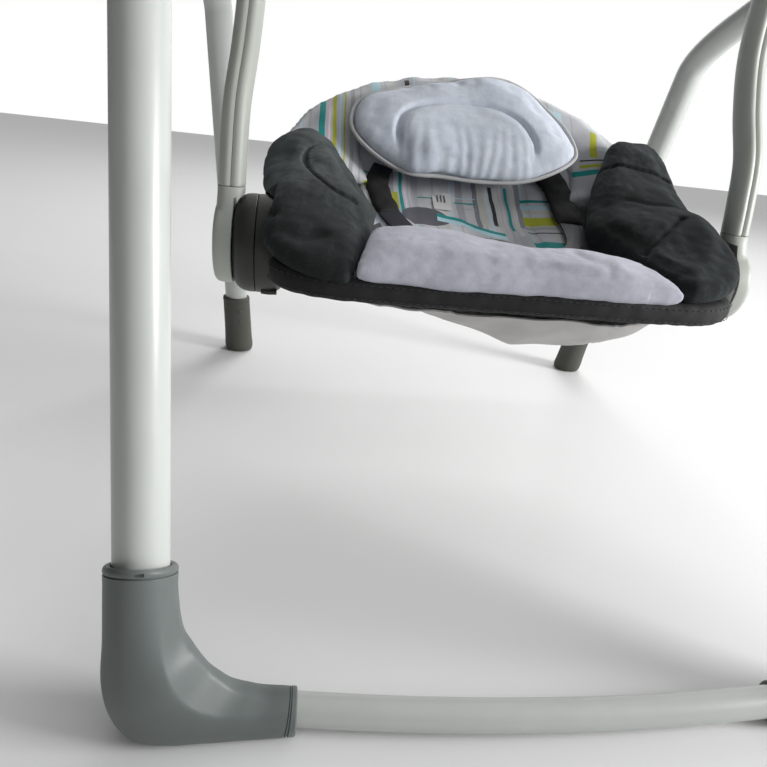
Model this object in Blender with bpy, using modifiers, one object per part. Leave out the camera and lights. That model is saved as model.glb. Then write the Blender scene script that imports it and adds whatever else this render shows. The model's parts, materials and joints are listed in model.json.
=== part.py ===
"""Freestanding infant swing with a padded reclining seat, modelled in metres, +Z up.

The origin is on the floor under the middle of the footprint.  The front (foot end) faces -Y.
"left" is the -X side and "right" is the +X side, as seen by someone facing the swing.
Both sides are made by the same functions: a side is -1 or +1 and multiplies every X.
"""

import math

import bmesh
import bpy
from mathutils import Vector

# ---------------------------------------------------------------- driving dimensions
GAP = 0.0003                 # air between two pieces that touch

# side frames
FRONT_R = 0.0178             # front leg tube
REAR_R = 0.0173              # rear leg tube
TUBE_WALL = 0.0014
FRONT_SPREAD = 0.0345        # the legs lean outwards by this much per metre of height
REAR_SPREAD = 0.0398
FRONT_X, FRONT_Y, FRONT_Z = 0.2912, -0.358, 0.090     # a point on the front leg's axis
FRONT_LEAN = 0.3335          # the front leg leans back
REAR_X, REAR_Y, REAR_Z = 0.309, 0.345, 0.111         # a point on the rear leg's axis
REAR_LEAN = -0.236           # the rear leg leans forward
BEND_Z = 0.500               # both legs are straight up to here
FRONT_END = (-0.019, 0.668)  # where the front leg ends inside the housing (y, z)

# floor pieces
BAR_R = 0.0118
BAR_Z = 0.0160
BAR_Y = -0.363
BAR_BOW = 0.0115             # the cross bar bows forward in the middle
BAR_END_X = 0.215            # half the bar's length
ELBOW_TOP_Z = 0.127
ELBOW_END_X = 0.187
FOOT_TOP_Z = 0.100
BRACE_Z = 0.200
BRACE_R = 0.011

# top pivots and housings
PIVOT_Y, PIVOT_Z = 0.0305, 0.680
POD_Y = 0.021                # centre of the housing
POD_RY, POD_RZ = 0.095, 0.068
POD_IN_X, POD_MID_X, POD_OUT_X = 0.285, 0.3085, 0.332
POD_WALL = 0.003
AXLE_R = 0.006
BUSH_R = 0.010
SPIGOT_R = 0.012
KNUCKLE_R = 0.048
KNUCKLE_OUT_X = 0.3700
KNUCKLE_LEG_X = 0.3510
FOLD_BUTTON_R = 0.010
CONTROL_R = 0.0055           # control buttons
CONTROL_ANGLES = {"power_button": 42.0, "speed_button": 66.0}
CONTROL_ARC_R = 0.062

# battery bay, on top of the right housing
CELL_R, CELL_LENGTH = 0.00725, 0.0505
DOOR_Y0, DOOR_Y1 = -0.006, 0.062
DOOR_HALF_X = 0.0165
DOOR_T = 0.0026

# swing arms and seat hubs
ARM_HALF_X, ARM_HALF_Y = 0.0135, 0.014
ARM_JOINT_Z = 0.3258         # the shells end here, on the knuckle's stub
ARM_PATH = [                 # arm centre line, from the seat hub up to the pivot
    (0.2750, -0.0280, 0.290),
    (0.2750, -0.0200, 0.324),
    (0.2742, -0.0150, 0.355),
    (0.2722, -0.0060, 0.401),
    (0.2670, 0.0130, 0.450),
    (0.2630, 0.0280, 0.503),
    (0.2621, 0.0325, 0.560),
    (0.2620, 0.0315, 0.620),
    (0.2620, 0.0305, 0.680),
]
HUB_Y, HUB_Z = -0.017, 0.269
HUB_R = 0.050
HUB_EDGE = 0.013             # rounding of each hub disc
HUB_FACES_X = (0.219, 0.2477, 0.2483, 0.2712, 0.290)
HUB_PIN_R = 0.005

# seat
HOOP_R = 0.006
BAND_R = 0.0115
BAND_GAP = 0.0012            # the band sits loosely on the rim tube
BAND_END_Y = -0.090          # the band covers the rim in front of this line
HOOP_HALF = [                # the rim tube, from the front middle round to the back middle
    (0.000, -0.139, 0.262),
    (0.070, -0.139, 0.262),
    (0.130, -0.138, 0.262),
    (0.182, -0.133, 0.262),
    (0.213, -0.117, 0.263),
    (0.222, -0.096, 0.264),
    (0.211, -0.074, 0.265),
    (0.206, -0.056, 0.266),
    (0.206, -0.017, 0.270),
    (0.213, 0.032, 0.284),
    (0.226, 0.082, 0.308),
    (0.230, 0.112, 0.331),
    (0.221, 0.149, 0.366),
    (0.194, 0.179, 0.396),
    (0.140, 0.208, 0.425),
    (0.070, 0.226, 0.443),
    (0.000, 0.232, 0.449),
]
SLING_ROWS = [               # rim point (x, y, z) and keel point (x, y, z) of each row
    ((0.128, -0.121, 0.2425), (0.030, -0.121, 0.2400)),
    ((0.170, -0.095, 0.2450), (0.030, -0.096, 0.2140)),
    ((0.185, -0.057, 0.2500), (0.030, -0.056, 0.1930)),
    ((0.190, -0.017, 0.2540), (0.030, -0.013, 0.1830)),
    ((0.196, 0.031, 0.2670), (0.025, 0.037, 0.1820)),
    ((0.208, 0.084, 0.2900), (0.015, 0.092, 0.2010)),
    ((0.212, 0.116, 0.3120), (0.005, 0.142, 0.2450)),
    ((0.202, 0.156, 0.3460), (0.000, 0.187, 0.3100)),
    ((0.178, 0.186, 0.3770), (0.000, 0.214, 0.3680)),
    ((0.128, 0.213, 0.4060), (0.000, 0.226, 0.4060)),
]
SLING_TAUT_ROWS = 6          # these first rows are pulled tauter on the left
SLING_T = 0.003
PAD_ROWS = [                 # half width, y and z of the pad's upper surface, front to back
    (0.104, -0.096, 0.2610),
    (0.112, -0.058, 0.2620),
    (0.118, -0.013, 0.2690),
    (0.120, 0.028, 0.2810),
    (0.122, 0.072, 0.2960),
    (0.126, 0.111, 0.3160),
    (0.138, 0.143, 0.3420),
    (0.152, 0.169, 0.3720),
    (0.150, 0.192, 0.4020),
    (0.122, 0.204, 0.4150),
]
PAD_T = 0.016
BOLSTER_ROWS = [             # outer point, inner point, half thickness
    ((0.160, -0.152, 0.280), (0.137, -0.059, 0.291), 0.015),
    ((0.186, -0.147, 0.281), (0.134, -0.043, 0.291), 0.017),
    ((0.216, -0.131, 0.285), (0.131, -0.018, 0.295), 0.019),
    ((0.239, -0.096, 0.298), (0.126, 0.000, 0.300), 0.021),
    ((0.241, -0.044, 0.318), (0.124, 0.014, 0.305), 0.021),
]
BOLSTER_TOPS = {             # the left one is pushed lower than the right one
    -1: [((0.249, 0.028, 0.328), (0.134, 0.040, 0.316), 0.021),
         ((0.2535, 0.075, 0.337), (0.147, 0.073, 0.334), 0.020),
         ((0.2530, 0.105, 0.352), (0.162, 0.100, 0.353), 0.017),
         ((0.241, 0.127, 0.366), (0.178, 0.121, 0.369), 0.013),
         ((0.222, 0.139, 0.377), (0.194, 0.136, 0.378), 0.008)],
    1: [((0.248, 0.028, 0.326), (0.130, 0.040, 0.317), 0.022),
        ((0.2535, 0.077, 0.342), (0.140, 0.075, 0.337), 0.022),
        ((0.2540, 0.107, 0.361), (0.155, 0.104, 0.358), 0.020),
        ((0.250, 0.132, 0.382), (0.170, 0.129, 0.382), 0.017),
        ((0.234, 0.153, 0.399), (0.185, 0.149, 0.399), 0.012)],
}
ROLL_FRONT_X, ROLL_BACK_X = 0.156, 0.131
ROLL_Y, ROLL_Z = -0.1020, 0.2850
ROLL_HALF_Y, ROLL_HALF_Z = 0.0500, 0.0165
BACK_ANGLE = math.radians(45)
PILLOW_Y, PILLOW_Z = 0.153, 0.403
PILLOW_HALF = (0.148, 0.085, 0.017)

# harness
STRAP_HALF_W, STRAP_T = 0.0125, 0.0016
STRAP_X = 0.1035
BUCKLE_Y, BUCKLE_Z = -0.019, 0.2865
BUCKLE_HALF = (0.027, 0.021, 0.0065)
BUCKLE_BUTTON_R = 0.0085

ROUND = 24                   # sides of a large turned piece
SMALL = 16                   # sides of a small turned piece

COLOURS = {                  # base colour, roughness, metallic
    "painted_tube": ((0.58, 0.61, 0.57), 0.35, 0.1),
    "arm_plastic": ((0.56, 0.60, 0.57), 0.4, 0.0),
    "slate_plastic": ((0.10, 0.12, 0.12), 0.45, 0.0),
    "hub_plastic": ((0.075, 0.065, 0.055), 0.45, 0.0),
    "foot_rubber": ((0.07, 0.075, 0.065), 0.7, 0.0),
    "steel": ((0.55, 0.55, 0.56), 0.3, 1.0),
    "bearing_plastic": ((0.8, 0.8, 0.76), 0.4, 0.0),
    "button_plastic": ((0.5, 0.52, 0.52), 0.4, 0.0),
    "copper": ((0.6, 0.25, 0.12), 0.35, 1.0),
    "board": ((0.02, 0.16, 0.07), 0.5, 0.0),
    "cell": ((0.05, 0.05, 0.06), 0.3, 0.2),
    "charcoal_plush": ((0.035, 0.045, 0.048), 0.9, 0.0),
    "lavender_plush": ((0.48, 0.47, 0.54), 0.9, 0.0),
    "print_fabric": ((0.55, 0.57, 0.58), 0.85, 0.0),
    "sling_fabric": ((0.46, 0.44, 0.41), 0.85, 0.0),
    "black_binding": ((0.011, 0.009, 0.010), 0.9, 0.0),
    "webbing": ((0.025, 0.025, 0.03), 0.8, 0.0),
}

PARTS = "infant_swing"
CUTTERS = "cutters"


# ---------------------------------------------------------------- scene and helpers
def clear_scene():
    for item in list(bpy.data.objects):
        bpy.data.objects.remove(item, do_unlink=True)
    for name in (PARTS, CUTTERS):
        collection = bpy.data.collections.new(name)
        bpy.context.scene.collection.children.link(collection)
        collection.name = name


def material(name):
    found = bpy.data.materials.get(name)
    if found:
        return found
    colour, roughness, metallic = COLOURS[name]
    made = bpy.data.materials.new(name)
    made.use_nodes = True
    shader = made.node_tree.nodes["Principled BSDF"]
    shader.inputs["Base Color"].default_value = (*colour, 1.0)
    shader.inputs["Roughness"].default_value = roughness
    shader.inputs["Metallic"].default_value = metallic
    return made


def add_object(name, data, look=None, collection=PARTS):
    made = bpy.data.objects.new(name, data)
    bpy.data.collections[collection].objects.link(made)
    if look:
        data.materials.append(material(look))
    if collection == CUTTERS:
        made.hide_render = True
        made.display_type = "WIRE"
    return made


def finish_bmesh(bm, name, look, collection=PARTS, smooth_angle=35):
    bmesh.ops.recalc_face_normals(bm, faces=bm.faces)
    mesh = bpy.data.meshes.new(name)
    bm.to_mesh(mesh)
    bm.free()
    made = add_object(name, mesh, look, collection)
    mesh.shade_smooth()
    mesh.set_sharp_from_angle(angle=math.radians(smooth_angle))
    return made


def boolean(target, tool, operation="DIFFERENCE"):
    modifier = target.modifiers.new(tool.name, "BOOLEAN")
    modifier.object = tool
    modifier.operation = operation
    modifier.solver = "EXACT"


def turned(name, profile, look, side, y, z, steps=ROUND, collection=PARTS, stretch_y=1.0):
    """Turn (radius, x) points round the X axis through y, z; x falls along the outer side."""
    mesh = bpy.data.meshes.new(name)
    points = [(radius, 0.0, height) for radius, height in profile]
    edges = [(i, i + 1) for i in range(len(points) - 1)]
    if profile[0][0] > 0:
        edges.append((len(points) - 1, 0))
    mesh.from_pydata(points, edges, [])
    made = add_object(name, mesh, look, collection)
    screw = made.modifiers.new("turn", "SCREW")
    screw.axis = "Z"
    screw.steps = steps
    screw.render_steps = steps
    screw.use_merge_vertices = True
    screw.merge_threshold = 0.00005
    screw.use_smooth_shade = True
    made.rotation_euler = (0.0, side * math.pi / 2, 0.0)
    made.location = (0.0, y, z)
    made.scale = (1.0, stretch_y, 1.0)
    return made


def disc(name, radius, x0, x1, look, side, y, z, hole=0.0, edge=0.0, steps=ROUND,
         collection=PARTS):
    """A turned disc from x0 to x1, with a rounded outer edge at x1 and an optional bore."""
    profile = [(hole, x1)]
    if edge:
        for step in range(3):
            turn = math.radians(45 * step)
            profile.append((radius - edge + edge * math.sin(turn),
                            x1 - edge + edge * math.cos(turn)))
    else:
        profile.append((radius, x1))
    profile += [(radius, x0), (hole, x0)]
    return turned(name, profile, look, side, y, z, steps, collection)


def poly_tube(name, points, radius, look=None, cyclic=False, resolution=2, collection=PARTS,
              wall=0.0, caps=True):
    """A round tube through the points, as a mesh; wall > 0 leaves it open and hollow."""
    curve = bpy.data.curves.new(name, "CURVE")
    curve.dimensions = "3D"
    curve.bevel_depth = radius
    curve.bevel_resolution = resolution
    curve.use_fill_caps = caps and not wall and not cyclic
    spline = curve.splines.new("POLY")
    spline.points.add(len(points) - 1)
    for knot, point in zip(spline.points, points):
        knot.co = (*point, 1.0)
    spline.use_cyclic_u = cyclic
    guide = add_object(name + "_curve", curve, None, collection)
    graph = bpy.context.evaluated_depsgraph_get()
    mesh = bpy.data.meshes.new_from_object(guide.evaluated_get(graph))
    bpy.data.objects.remove(guide, do_unlink=True)
    bm = bmesh.new()
    bm.from_mesh(mesh)
    bmesh.ops.remove_doubles(bm, verts=bm.verts, dist=0.00002)
    bmesh.ops.recalc_face_normals(bm, faces=bm.faces)
    bm.to_mesh(mesh)
    bm.free()
    mesh.name = name
    made = add_object(name, mesh, look, collection)
    mesh.shade_smooth()
    mesh.set_sharp_from_angle(angle=math.radians(50))
    if wall:
        shell = made.modifiers.new("wall", "SOLIDIFY")
        shell.thickness = wall
        shell.offset = -1.0
    return made


def bend(start, heading, end, arrival, pull, steps):
    """Points of a cubic curve from start to end, without the start itself."""
    a, d = Vector(start), Vector(end)
    b = a + Vector(heading).normalized() * pull
    c = d - Vector(arrival).normalized() * pull
    points = []
    for step in range(1, steps + 1):
        t = step / steps
        s = 1 - t
        points.append(a * s**3 + b * 3 * s * s * t + c * 3 * s * t * t + d * t**3)
    return points


def smooth_line(points, steps, cyclic=False):
    """A smooth line through the points (Catmull-Rom), with steps parts to a stretch."""
    knots = [Vector(point) for point in points]
    count = len(knots)
    stretches = count if cyclic else count - 1
    line = []
    for index in range(stretches):
        if cyclic:
            p0, p1, p2, p3 = (knots[(index + k - 1) % count] for k in range(4))
        else:
            p0, p3 = knots[max(index - 1, 0)], knots[min(index + 2, count - 1)]
            p1, p2 = knots[index], knots[index + 1]
        for step in range(steps):
            t = step / steps
            line.append(0.5 * (2 * p1 + (p2 - p0) * t + (2 * p0 - 5 * p1 + 4 * p2 - p3) * t * t
                               + (3 * p1 - p0 - 3 * p2 + p3) * t**3))
    if not cyclic:
        line.append(knots[-1])
    return line


def loft(name, rings, look, collection=PARTS, smooth_angle=40):
    """A closed body through rings of points, each ring with the same number of points."""
    bm = bmesh.new()
    loops = [[bm.verts.new(point) for point in ring] for ring in rings]
    count = len(loops[0])
    for lower, upper in zip(loops, loops[1:]):
        for i in range(count):
            j = (i + 1) % count
            bm.faces.new((lower[i], lower[j], upper[j], upper[i]))
    bm.faces.new(loops[0])
    bm.faces.new(loops[-1])
    return finish_bmesh(bm, name, look, collection, smooth_angle)


def oval(centre, u, v, count=16, power=2.0):
    """A ring round centre with half axes u and v; a power over 2 squares it off."""
    ring = []
    for step in range(count):
        angle = 2 * math.pi * step / count
        c, s = math.cos(angle), math.sin(angle)
        a = math.copysign(abs(c) ** (2 / power), c)
        b = math.copysign(abs(s) ** (2 / power), s)
        ring.append(Vector(centre) + Vector(u) * a + Vector(v) * b)
    return ring


def block(name, low, high, look=None, bevel=0.0, collection=PARTS):
    bm = bmesh.new()
    bmesh.ops.create_cube(bm, size=1.0)
    size = Vector(high) - Vector(low)
    middle = (Vector(high) + Vector(low)) / 2
    for vert in bm.verts:
        vert.co = Vector(a * b for a, b in zip(vert.co, size)) + middle
    made = finish_bmesh(bm, name, look, collection)
    if bevel:
        edge = made.modifiers.new("edge", "BEVEL")
        edge.width = bevel
        edge.segments = 2
    return made


def sheet(name, rows, thickness, look, offset=-1.0):
    """A grid of points made solid by Solidify; rows run front to back."""
    bm = bmesh.new()
    grid = [[bm.verts.new(point) for point in row] for row in rows]
    for lower, upper in zip(grid, grid[1:]):
        for i in range(len(lower) - 1):
            bm.faces.new((lower[i], lower[i + 1], upper[i + 1], upper[i]))
    mesh = bpy.data.meshes.new(name)
    bm.to_mesh(mesh)
    bm.free()
    made = add_object(name, mesh, look)
    mesh.shade_smooth()
    shell = made.modifiers.new("thickness", "SOLIDIFY")
    shell.thickness = thickness
    shell.offset = offset
    return made


def suffix(side):
    return "_left" if side < 0 else "_right"


def mirror(side, points):
    return [(side * x, y, z) for x, y, z in points]


# ---------------------------------------------------------------- side frames
def front_axis(z):
    rise = z - FRONT_Z
    return (FRONT_X + FRONT_SPREAD * rise, FRONT_Y + FRONT_LEAN * rise, z)


def rear_axis(z):
    rise = z - REAR_Z
    return (REAR_X + REAR_SPREAD * rise, REAR_Y + REAR_LEAN * rise, z)


def front_leg_path(side, low=0.062):
    start, knee = front_axis(low), front_axis(BEND_Z)
    end = (POD_MID_X, FRONT_END[0], FRONT_END[1])
    points = [start, knee]
    points += bend(knee, (FRONT_SPREAD, FRONT_LEAN, 1.0), end, (0.0, 0.93, 0.37), 0.115, 10)
    return mirror(side, [tuple(point) for point in points])


def rear_leg_path(side, low=0.030, reach=1.0):
    start, knee = rear_axis(low), rear_axis(BEND_Z)
    step = 0.030 * reach
    end = (KNUCKLE_LEG_X, PIVOT_Y + step, PIVOT_Z - step)
    near = (KNUCKLE_LEG_X, PIVOT_Y + 0.065, PIVOT_Z - 0.065)
    points = [start, knee]
    points += bend(knee, (REAR_SPREAD, REAR_LEAN, 1.0), near, (0.0, -1.0, 1.0), 0.045, 7)
    points.append(end)
    return mirror(side, [tuple(point) for point in points])


def bar_path(half):
    points = []
    for step in range(13):
        x = half * (step / 6 - 1)
        points.append((x, BAR_Y - BAR_BOW * (1 - (x / BAR_END_X) ** 2), BAR_Z))
    return points


def elbow_rings(side):
    """Sections of the corner elbow, from the leg socket round to the cross bar socket."""
    stations = [            # centre, half width, half depth, tilt in XZ, slope front to back
        (front_axis(ELBOW_TOP_Z), 0.0230, 0.0228, 0.0, 0.62),
        (front_axis(0.105), 0.0232, 0.0229, 0.0, 0.45),
        ((0.2893, -0.3613, 0.080), 0.0252, 0.0229, 3.0, 0.20),
        ((0.2856, -0.3672, 0.0590), 0.0316, 0.0225, 20.4, 0.0),
        ((0.2787, -0.3680, 0.0385), 0.0362, 0.0218, 27.1, 0.0),
        ((0.2692, -0.3680, 0.0256), 0.0374, 0.0212, 34.6, 0.0),
        ((0.2550, -0.3678, 0.0190), 0.0323, 0.0203, 39.4, 0.0),
        ((0.2375, -0.3674, 0.0168), 0.0253, 0.0190, 46.2, 0.0),
        ((0.2165, -0.3668, 0.0150), 0.0190, 0.0173, 62.0, 0.0),
        ((ELBOW_END_X, -0.3660, 0.0141), 0.0156, 0.0156, 90.0, 0.0),
    ]
    rings = []
    for centre, half_width, half_depth, tilt, slope in stations:
        turn = math.radians(tilt)
        across = Vector((side * math.cos(turn), 0.0, -math.sin(turn))) * half_width
        depth = Vector((0.0, half_depth, -slope * half_depth))
        ring = oval((side * centre[0], centre[1], centre[2]), across, depth, 20, 2.15)
        rings.append([Vector((p.x, p.y, max(p.z, 0.0))) for p in ring])
    return rings


def side_frame(side):
    end = suffix(side)
    poly_tube("front_leg" + end, front_leg_path(side), FRONT_R, "painted_tube", resolution=3,
              wall=TUBE_WALL)
    poly_tube("rear_leg" + end, rear_leg_path(side), REAR_R, "painted_tube", wall=TUBE_WALL)

    elbow = loft("corner_elbow" + end, elbow_rings(side), "slate_plastic")
    leg_bore = poly_tube("elbow_leg_bore" + end, front_leg_path(side), FRONT_R + GAP,
                         resolution=3, collection=CUTTERS)
    bar_bore = poly_tube("elbow_bar_bore" + end, bar_path(BAR_END_X + GAP), BAR_R + GAP,
                         collection=CUTTERS)
    boolean(elbow, leg_bore)
    boolean(elbow, bar_bore)

    stations = [(FOOT_TOP_Z, 1.0, 0.0), (0.060, 1.02, 0.0), (0.022, 1.06, 0.001),
                (0.008, 1.04, 0.002), (0.0, 0.86, 0.002)]
    rings = []
    for z, scale, toe in stations:
        x, y, _ = rear_axis(z)
        centre = (side * x, y - toe, z)
        half = 0.0215 * scale
        rings.append(oval(centre, (half, 0, 0), (0, half + toe, 0), 20, 2.2))
    foot = loft("rear_foot" + end, rings, "foot_rubber")
    foot_bore = poly_tube("foot_bore" + end, rear_leg_path(side, 0.0297), REAR_R + GAP,
                          collection=CUTTERS)
    boolean(foot, foot_bore)
    return foot_bore


def floor_bar():
    poly_tube("front_crossbar", bar_path(BAR_END_X), BAR_R, "painted_tube", wall=TUBE_WALL)


def rear_brace(leg_bores):
    x, y, z = rear_axis(BRACE_Z)
    brace = poly_tube("rear_brace", [(-x, y, z), (x, y, z)], BRACE_R, "painted_tube")
    for bore in leg_bores:
        boolean(brace, bore)


# ---------------------------------------------------------------- top housings
def pod_half(name, face_x, side):
    """One cupped half of a housing: its mouth is at the parting plane, its floor at face_x."""
    round_off = 0.009
    outward = 1.0 if face_x > POD_MID_X else -1.0
    mouth = POD_MID_X + outward * GAP / 2
    depth = abs(face_x - mouth)
    inner = POD_RZ - POD_WALL
    profile = [(0.0, depth)]
    for step in range(3):
        turn = math.radians(45 * step)
        profile.append((POD_RZ - round_off + round_off * math.sin(turn),
                        depth - round_off + round_off * math.cos(turn)))
    profile += [(POD_RZ, 0.0), (inner, 0.0), (inner, depth - POD_WALL - 0.003),
                (inner - 0.004, depth - POD_WALL), (0.0, depth - POD_WALL)]
    half = turned(name, profile, "slate_plastic", side * outward, POD_Y, PIVOT_Z,
                  stretch_y=POD_RY / POD_RZ)
    half.location.x = side * mouth
    return half


def housing(side):
    end = suffix(side)
    inner = pod_half("housing_inner" + end, POD_IN_X, side)
    outer = pod_half("housing_outer" + end, POD_OUT_X, side)

    leg_bore = poly_tube("pod_leg_bore" + end, front_leg_path(side), FRONT_R + GAP,
                         resolution=3, collection=CUTTERS)
    boolean(inner, leg_bore)
    boolean(outer, leg_bore)

    bush_hole = disc("bush_hole" + end, BUSH_R + GAP, 0.270, 0.300, None, side, PIVOT_Y, PIVOT_Z,
                     steps=SMALL, collection=CUTTERS)
    boolean(inner, bush_hole)
    spigot = disc("spigot" + end, SPIGOT_R, POD_OUT_X - 0.0015, 0.3520, None, side, PIVOT_Y,
                  PIVOT_Z, steps=24, collection=CUTTERS)
    boolean(outer, spigot, "UNION")

    disc("pivot_bush" + end, BUSH_R, 0.2836, 0.3000, "bearing_plastic", side, PIVOT_Y, PIVOT_Z,
         hole=AXLE_R + GAP, steps=SMALL)
    disc("pivot_axle" + end, AXLE_R, 0.2500, 0.3230, "steel", side, PIVOT_Y, PIVOT_Z,
         steps=SMALL)
    return inner, outer


def fold_knuckle(side):
    end = suffix(side)
    inner_x = POD_OUT_X + GAP
    knuckle = disc("fold_knuckle" + end, KNUCKLE_R, inner_x, KNUCKLE_OUT_X, "slate_plastic",
                   side, PIVOT_Y, PIVOT_Z, edge=0.008)
    path = rear_leg_path(side)
    sleeve_start, sleeve_end = Vector(path[-2]), Vector(path[-1])
    sleeve_start = sleeve_start + (Vector(path[-3]) - sleeve_start).normalized() * 0.018
    stem = poly_tube("knuckle_stem" + end, [sleeve_start, Vector(path[-2]), sleeve_end], 0.0189,
                     resolution=3, collection=CUTTERS)
    boolean(knuckle, stem, "UNION")
    leg_bore = poly_tube("knuckle_leg_bore" + end, rear_leg_path(side, reach=0.99),
                         REAR_R + GAP, collection=CUTTERS)
    boolean(knuckle, leg_bore)
    spigot_bore = disc("spigot_bore" + end, SPIGOT_R + GAP, 0.320, 0.3540, None, side, PIVOT_Y,
                       PIVOT_Z, steps=24, collection=CUTTERS)
    boolean(knuckle, spigot_bore)
    button_bore = disc("button_bore" + end, FOLD_BUTTON_R + GAP, 0.350, 0.380, None, side,
                       PIVOT_Y, PIVOT_Z, steps=24, collection=CUTTERS)
    boolean(knuckle, button_bore)
    disc("fold_button" + end, FOLD_BUTTON_R, 0.3565, 0.3732, "button_plastic", side, PIVOT_Y,
         PIVOT_Z, edge=0.002, steps=SMALL)


# ---------------------------------------------------------------- drive, battery and controls
def pod_surface(y, inset):
    """Height of the housing's oval at y, moved in by inset."""
    share = (y - POD_Y) / (POD_RY - inset)
    return PIVOT_Z + (POD_RZ - inset) * math.sqrt(max(0.0, 1 - share * share))


def door_outline(y0, y1, outer_inset, inner_inset):
    ys = [y0 + (y1 - y0) * step / 8 for step in range(9)]
    upper = [(y, pod_surface(y, outer_inset)) for y in ys]
    lower = [(y, pod_surface(y, inner_inset)) for y in reversed(ys)]
    return upper + lower


def door_body(name, outline, half_x, look=None, collection=PARTS):
    rings = [[Vector((x, y, z)) for y, z in outline]
             for x in (POD_MID_X - half_x, POD_MID_X + half_x)]
    return loft(name, rings, look, collection)


def drive_side(inner, outer):
    """What the right housing holds: drive, cells and controls."""
    opening = door_body("door_opening", door_outline(DOOR_Y0 - 0.0005, DOOR_Y1 + 0.0005, -0.004,
                                                     0.0075), DOOR_HALF_X + 0.0005,
                        collection=CUTTERS)
    boolean(inner, opening)
    boolean(outer, opening)
    door_body("battery_door", door_outline(DOOR_Y0, DOOR_Y1, 0.0, DOOR_T), DOOR_HALF_X,
              "slate_plastic")

    for column in range(2):
        for row in range(2):
            x = POD_MID_X + (column - 0.5) * 0.0150
            z = 0.7115 + row * 0.0150
            points = [(x, DOOR_Y0 + 0.0085, z), (x, DOOR_Y0 + 0.0085 + CELL_LENGTH, z)]
            poly_tube(f"battery_cell_{column * 2 + row + 1}", points, CELL_R, "cell",
                      resolution=1)

    block("drive_coil", (0.2960, PIVOT_Y - 0.014, 0.6194), (0.3190, PIVOT_Y + 0.012, 0.6298),
          "copper", bevel=0.003)
    lever = poly_tube("drive_lever", [(0.3060, PIVOT_Y, PIVOT_Z), (0.3110, PIVOT_Y, PIVOT_Z)],
                      0.0120, "bearing_plastic", resolution=2)
    stem = block("lever_stem", (0.3062, PIVOT_Y - 0.006, 0.6400), (0.3108, PIVOT_Y + 0.006, 0.6780),
                 collection=CUTTERS)
    boolean(lever, stem, "UNION")
    axle_bore = disc("lever_bore", AXLE_R + GAP, 0.300, 0.320, None, 1, PIVOT_Y, PIVOT_Z,
                     steps=SMALL, collection=CUTTERS)
    boolean(lever, axle_bore)
    block("drive_magnet", (0.2990, PIVOT_Y - 0.009, 0.6315), (0.3170, PIVOT_Y + 0.009, 0.6396),
          "steel", bevel=0.001)
    block("circuit_board", (0.3205, PIVOT_Y - 0.071, 0.6925), (0.3220, PIVOT_Y - 0.039, 0.7230),
          "board")

    for name, degrees in CONTROL_ANGLES.items():
        turn = math.radians(degrees)
        y = PIVOT_Y - CONTROL_ARC_R * math.sin(turn)
        z = PIVOT_Z + CONTROL_ARC_R * math.cos(turn)
        hole = disc(name + "_hole", CONTROL_R + 0.0003, 0.320, 0.340, None, 1, y, z,
                    steps=SMALL, collection=CUTTERS)
        boolean(outer, hole)
        profile = [(0.0, POD_OUT_X + 0.0018), (CONTROL_R - 0.0008, POD_OUT_X + 0.0018),
                   (CONTROL_R, POD_OUT_X + 0.0010), (CONTROL_R, 0.3285),
                   (CONTROL_R + 0.001, 0.3285), (CONTROL_R + 0.001, 0.3272), (0.0, 0.3272)]
        turned(name, profile, "button_plastic", 1, y, z, SMALL)


# ---------------------------------------------------------------- swing arms and hubs
def arm_sections(side, inner_half):
    """D-shaped sections of one shell of an arm, from its lower joint to its rounded top."""
    line = smooth_line(ARM_PATH, 2)
    line = [p for p in line if p.z > ARM_JOINT_Z + 0.002]
    line.insert(0, Vector((ARM_PATH[1][0], ARM_PATH[1][1] + 0.0005, ARM_JOINT_Z)))
    top_x = ARM_PATH[-1][0]
    line += [Vector((top_x, PIVOT_Y, PIVOT_Z + rise)) for rise in (0.0080, 0.0165, 0.0210)]
    scales = [1.0] * (len(line) - 2) + [0.82, 0.40]
    facing = -side if inner_half else side
    rings = []
    for index, centre in enumerate(line):
        before, after = line[max(index - 1, 0)], line[min(index + 1, len(line) - 1)]
        along = (after - before).normalized()
        if index == 0:
            along = Vector((0.0, 0.0, 1.0))
        back = along.cross(Vector((1.0, 0.0, 0.0))).normalized()
        wide = 1.0
        if centre.z > 0.650:
            wide = 1.0 + 0.22 * math.sin(math.pi * min(1.0, (centre.z - 0.650) / 0.052))
        half_y = ARM_HALF_Y * scales[index] * wide
        ring = []
        for step in range(7):
            angle = math.pi * (step / 6 - 0.5)
            out = facing * (GAP / 2 + (ARM_HALF_X - GAP / 2) * math.cos(angle) ** 0.8
                            if abs(math.cos(angle)) > 1e-6 else GAP / 2)
            ring.append(Vector((side * centre.x + out, centre.y, centre.z))
                        + back * half_y * math.sin(angle))
        rings.append(ring)
    return rings


def arm(side):
    end = suffix(side)
    for label, inner_half in (("arm_outer", False), ("arm_inner", True)):
        shell = loft(label + end, arm_sections(side, inner_half), "arm_plastic")
        bore = disc(label + "_bore" + end, AXLE_R + GAP, 0.2400, 0.2900, None, side, PIVOT_Y,
                    PIVOT_Z, steps=SMALL, collection=CUTTERS)
        boolean(shell, bore)


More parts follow.
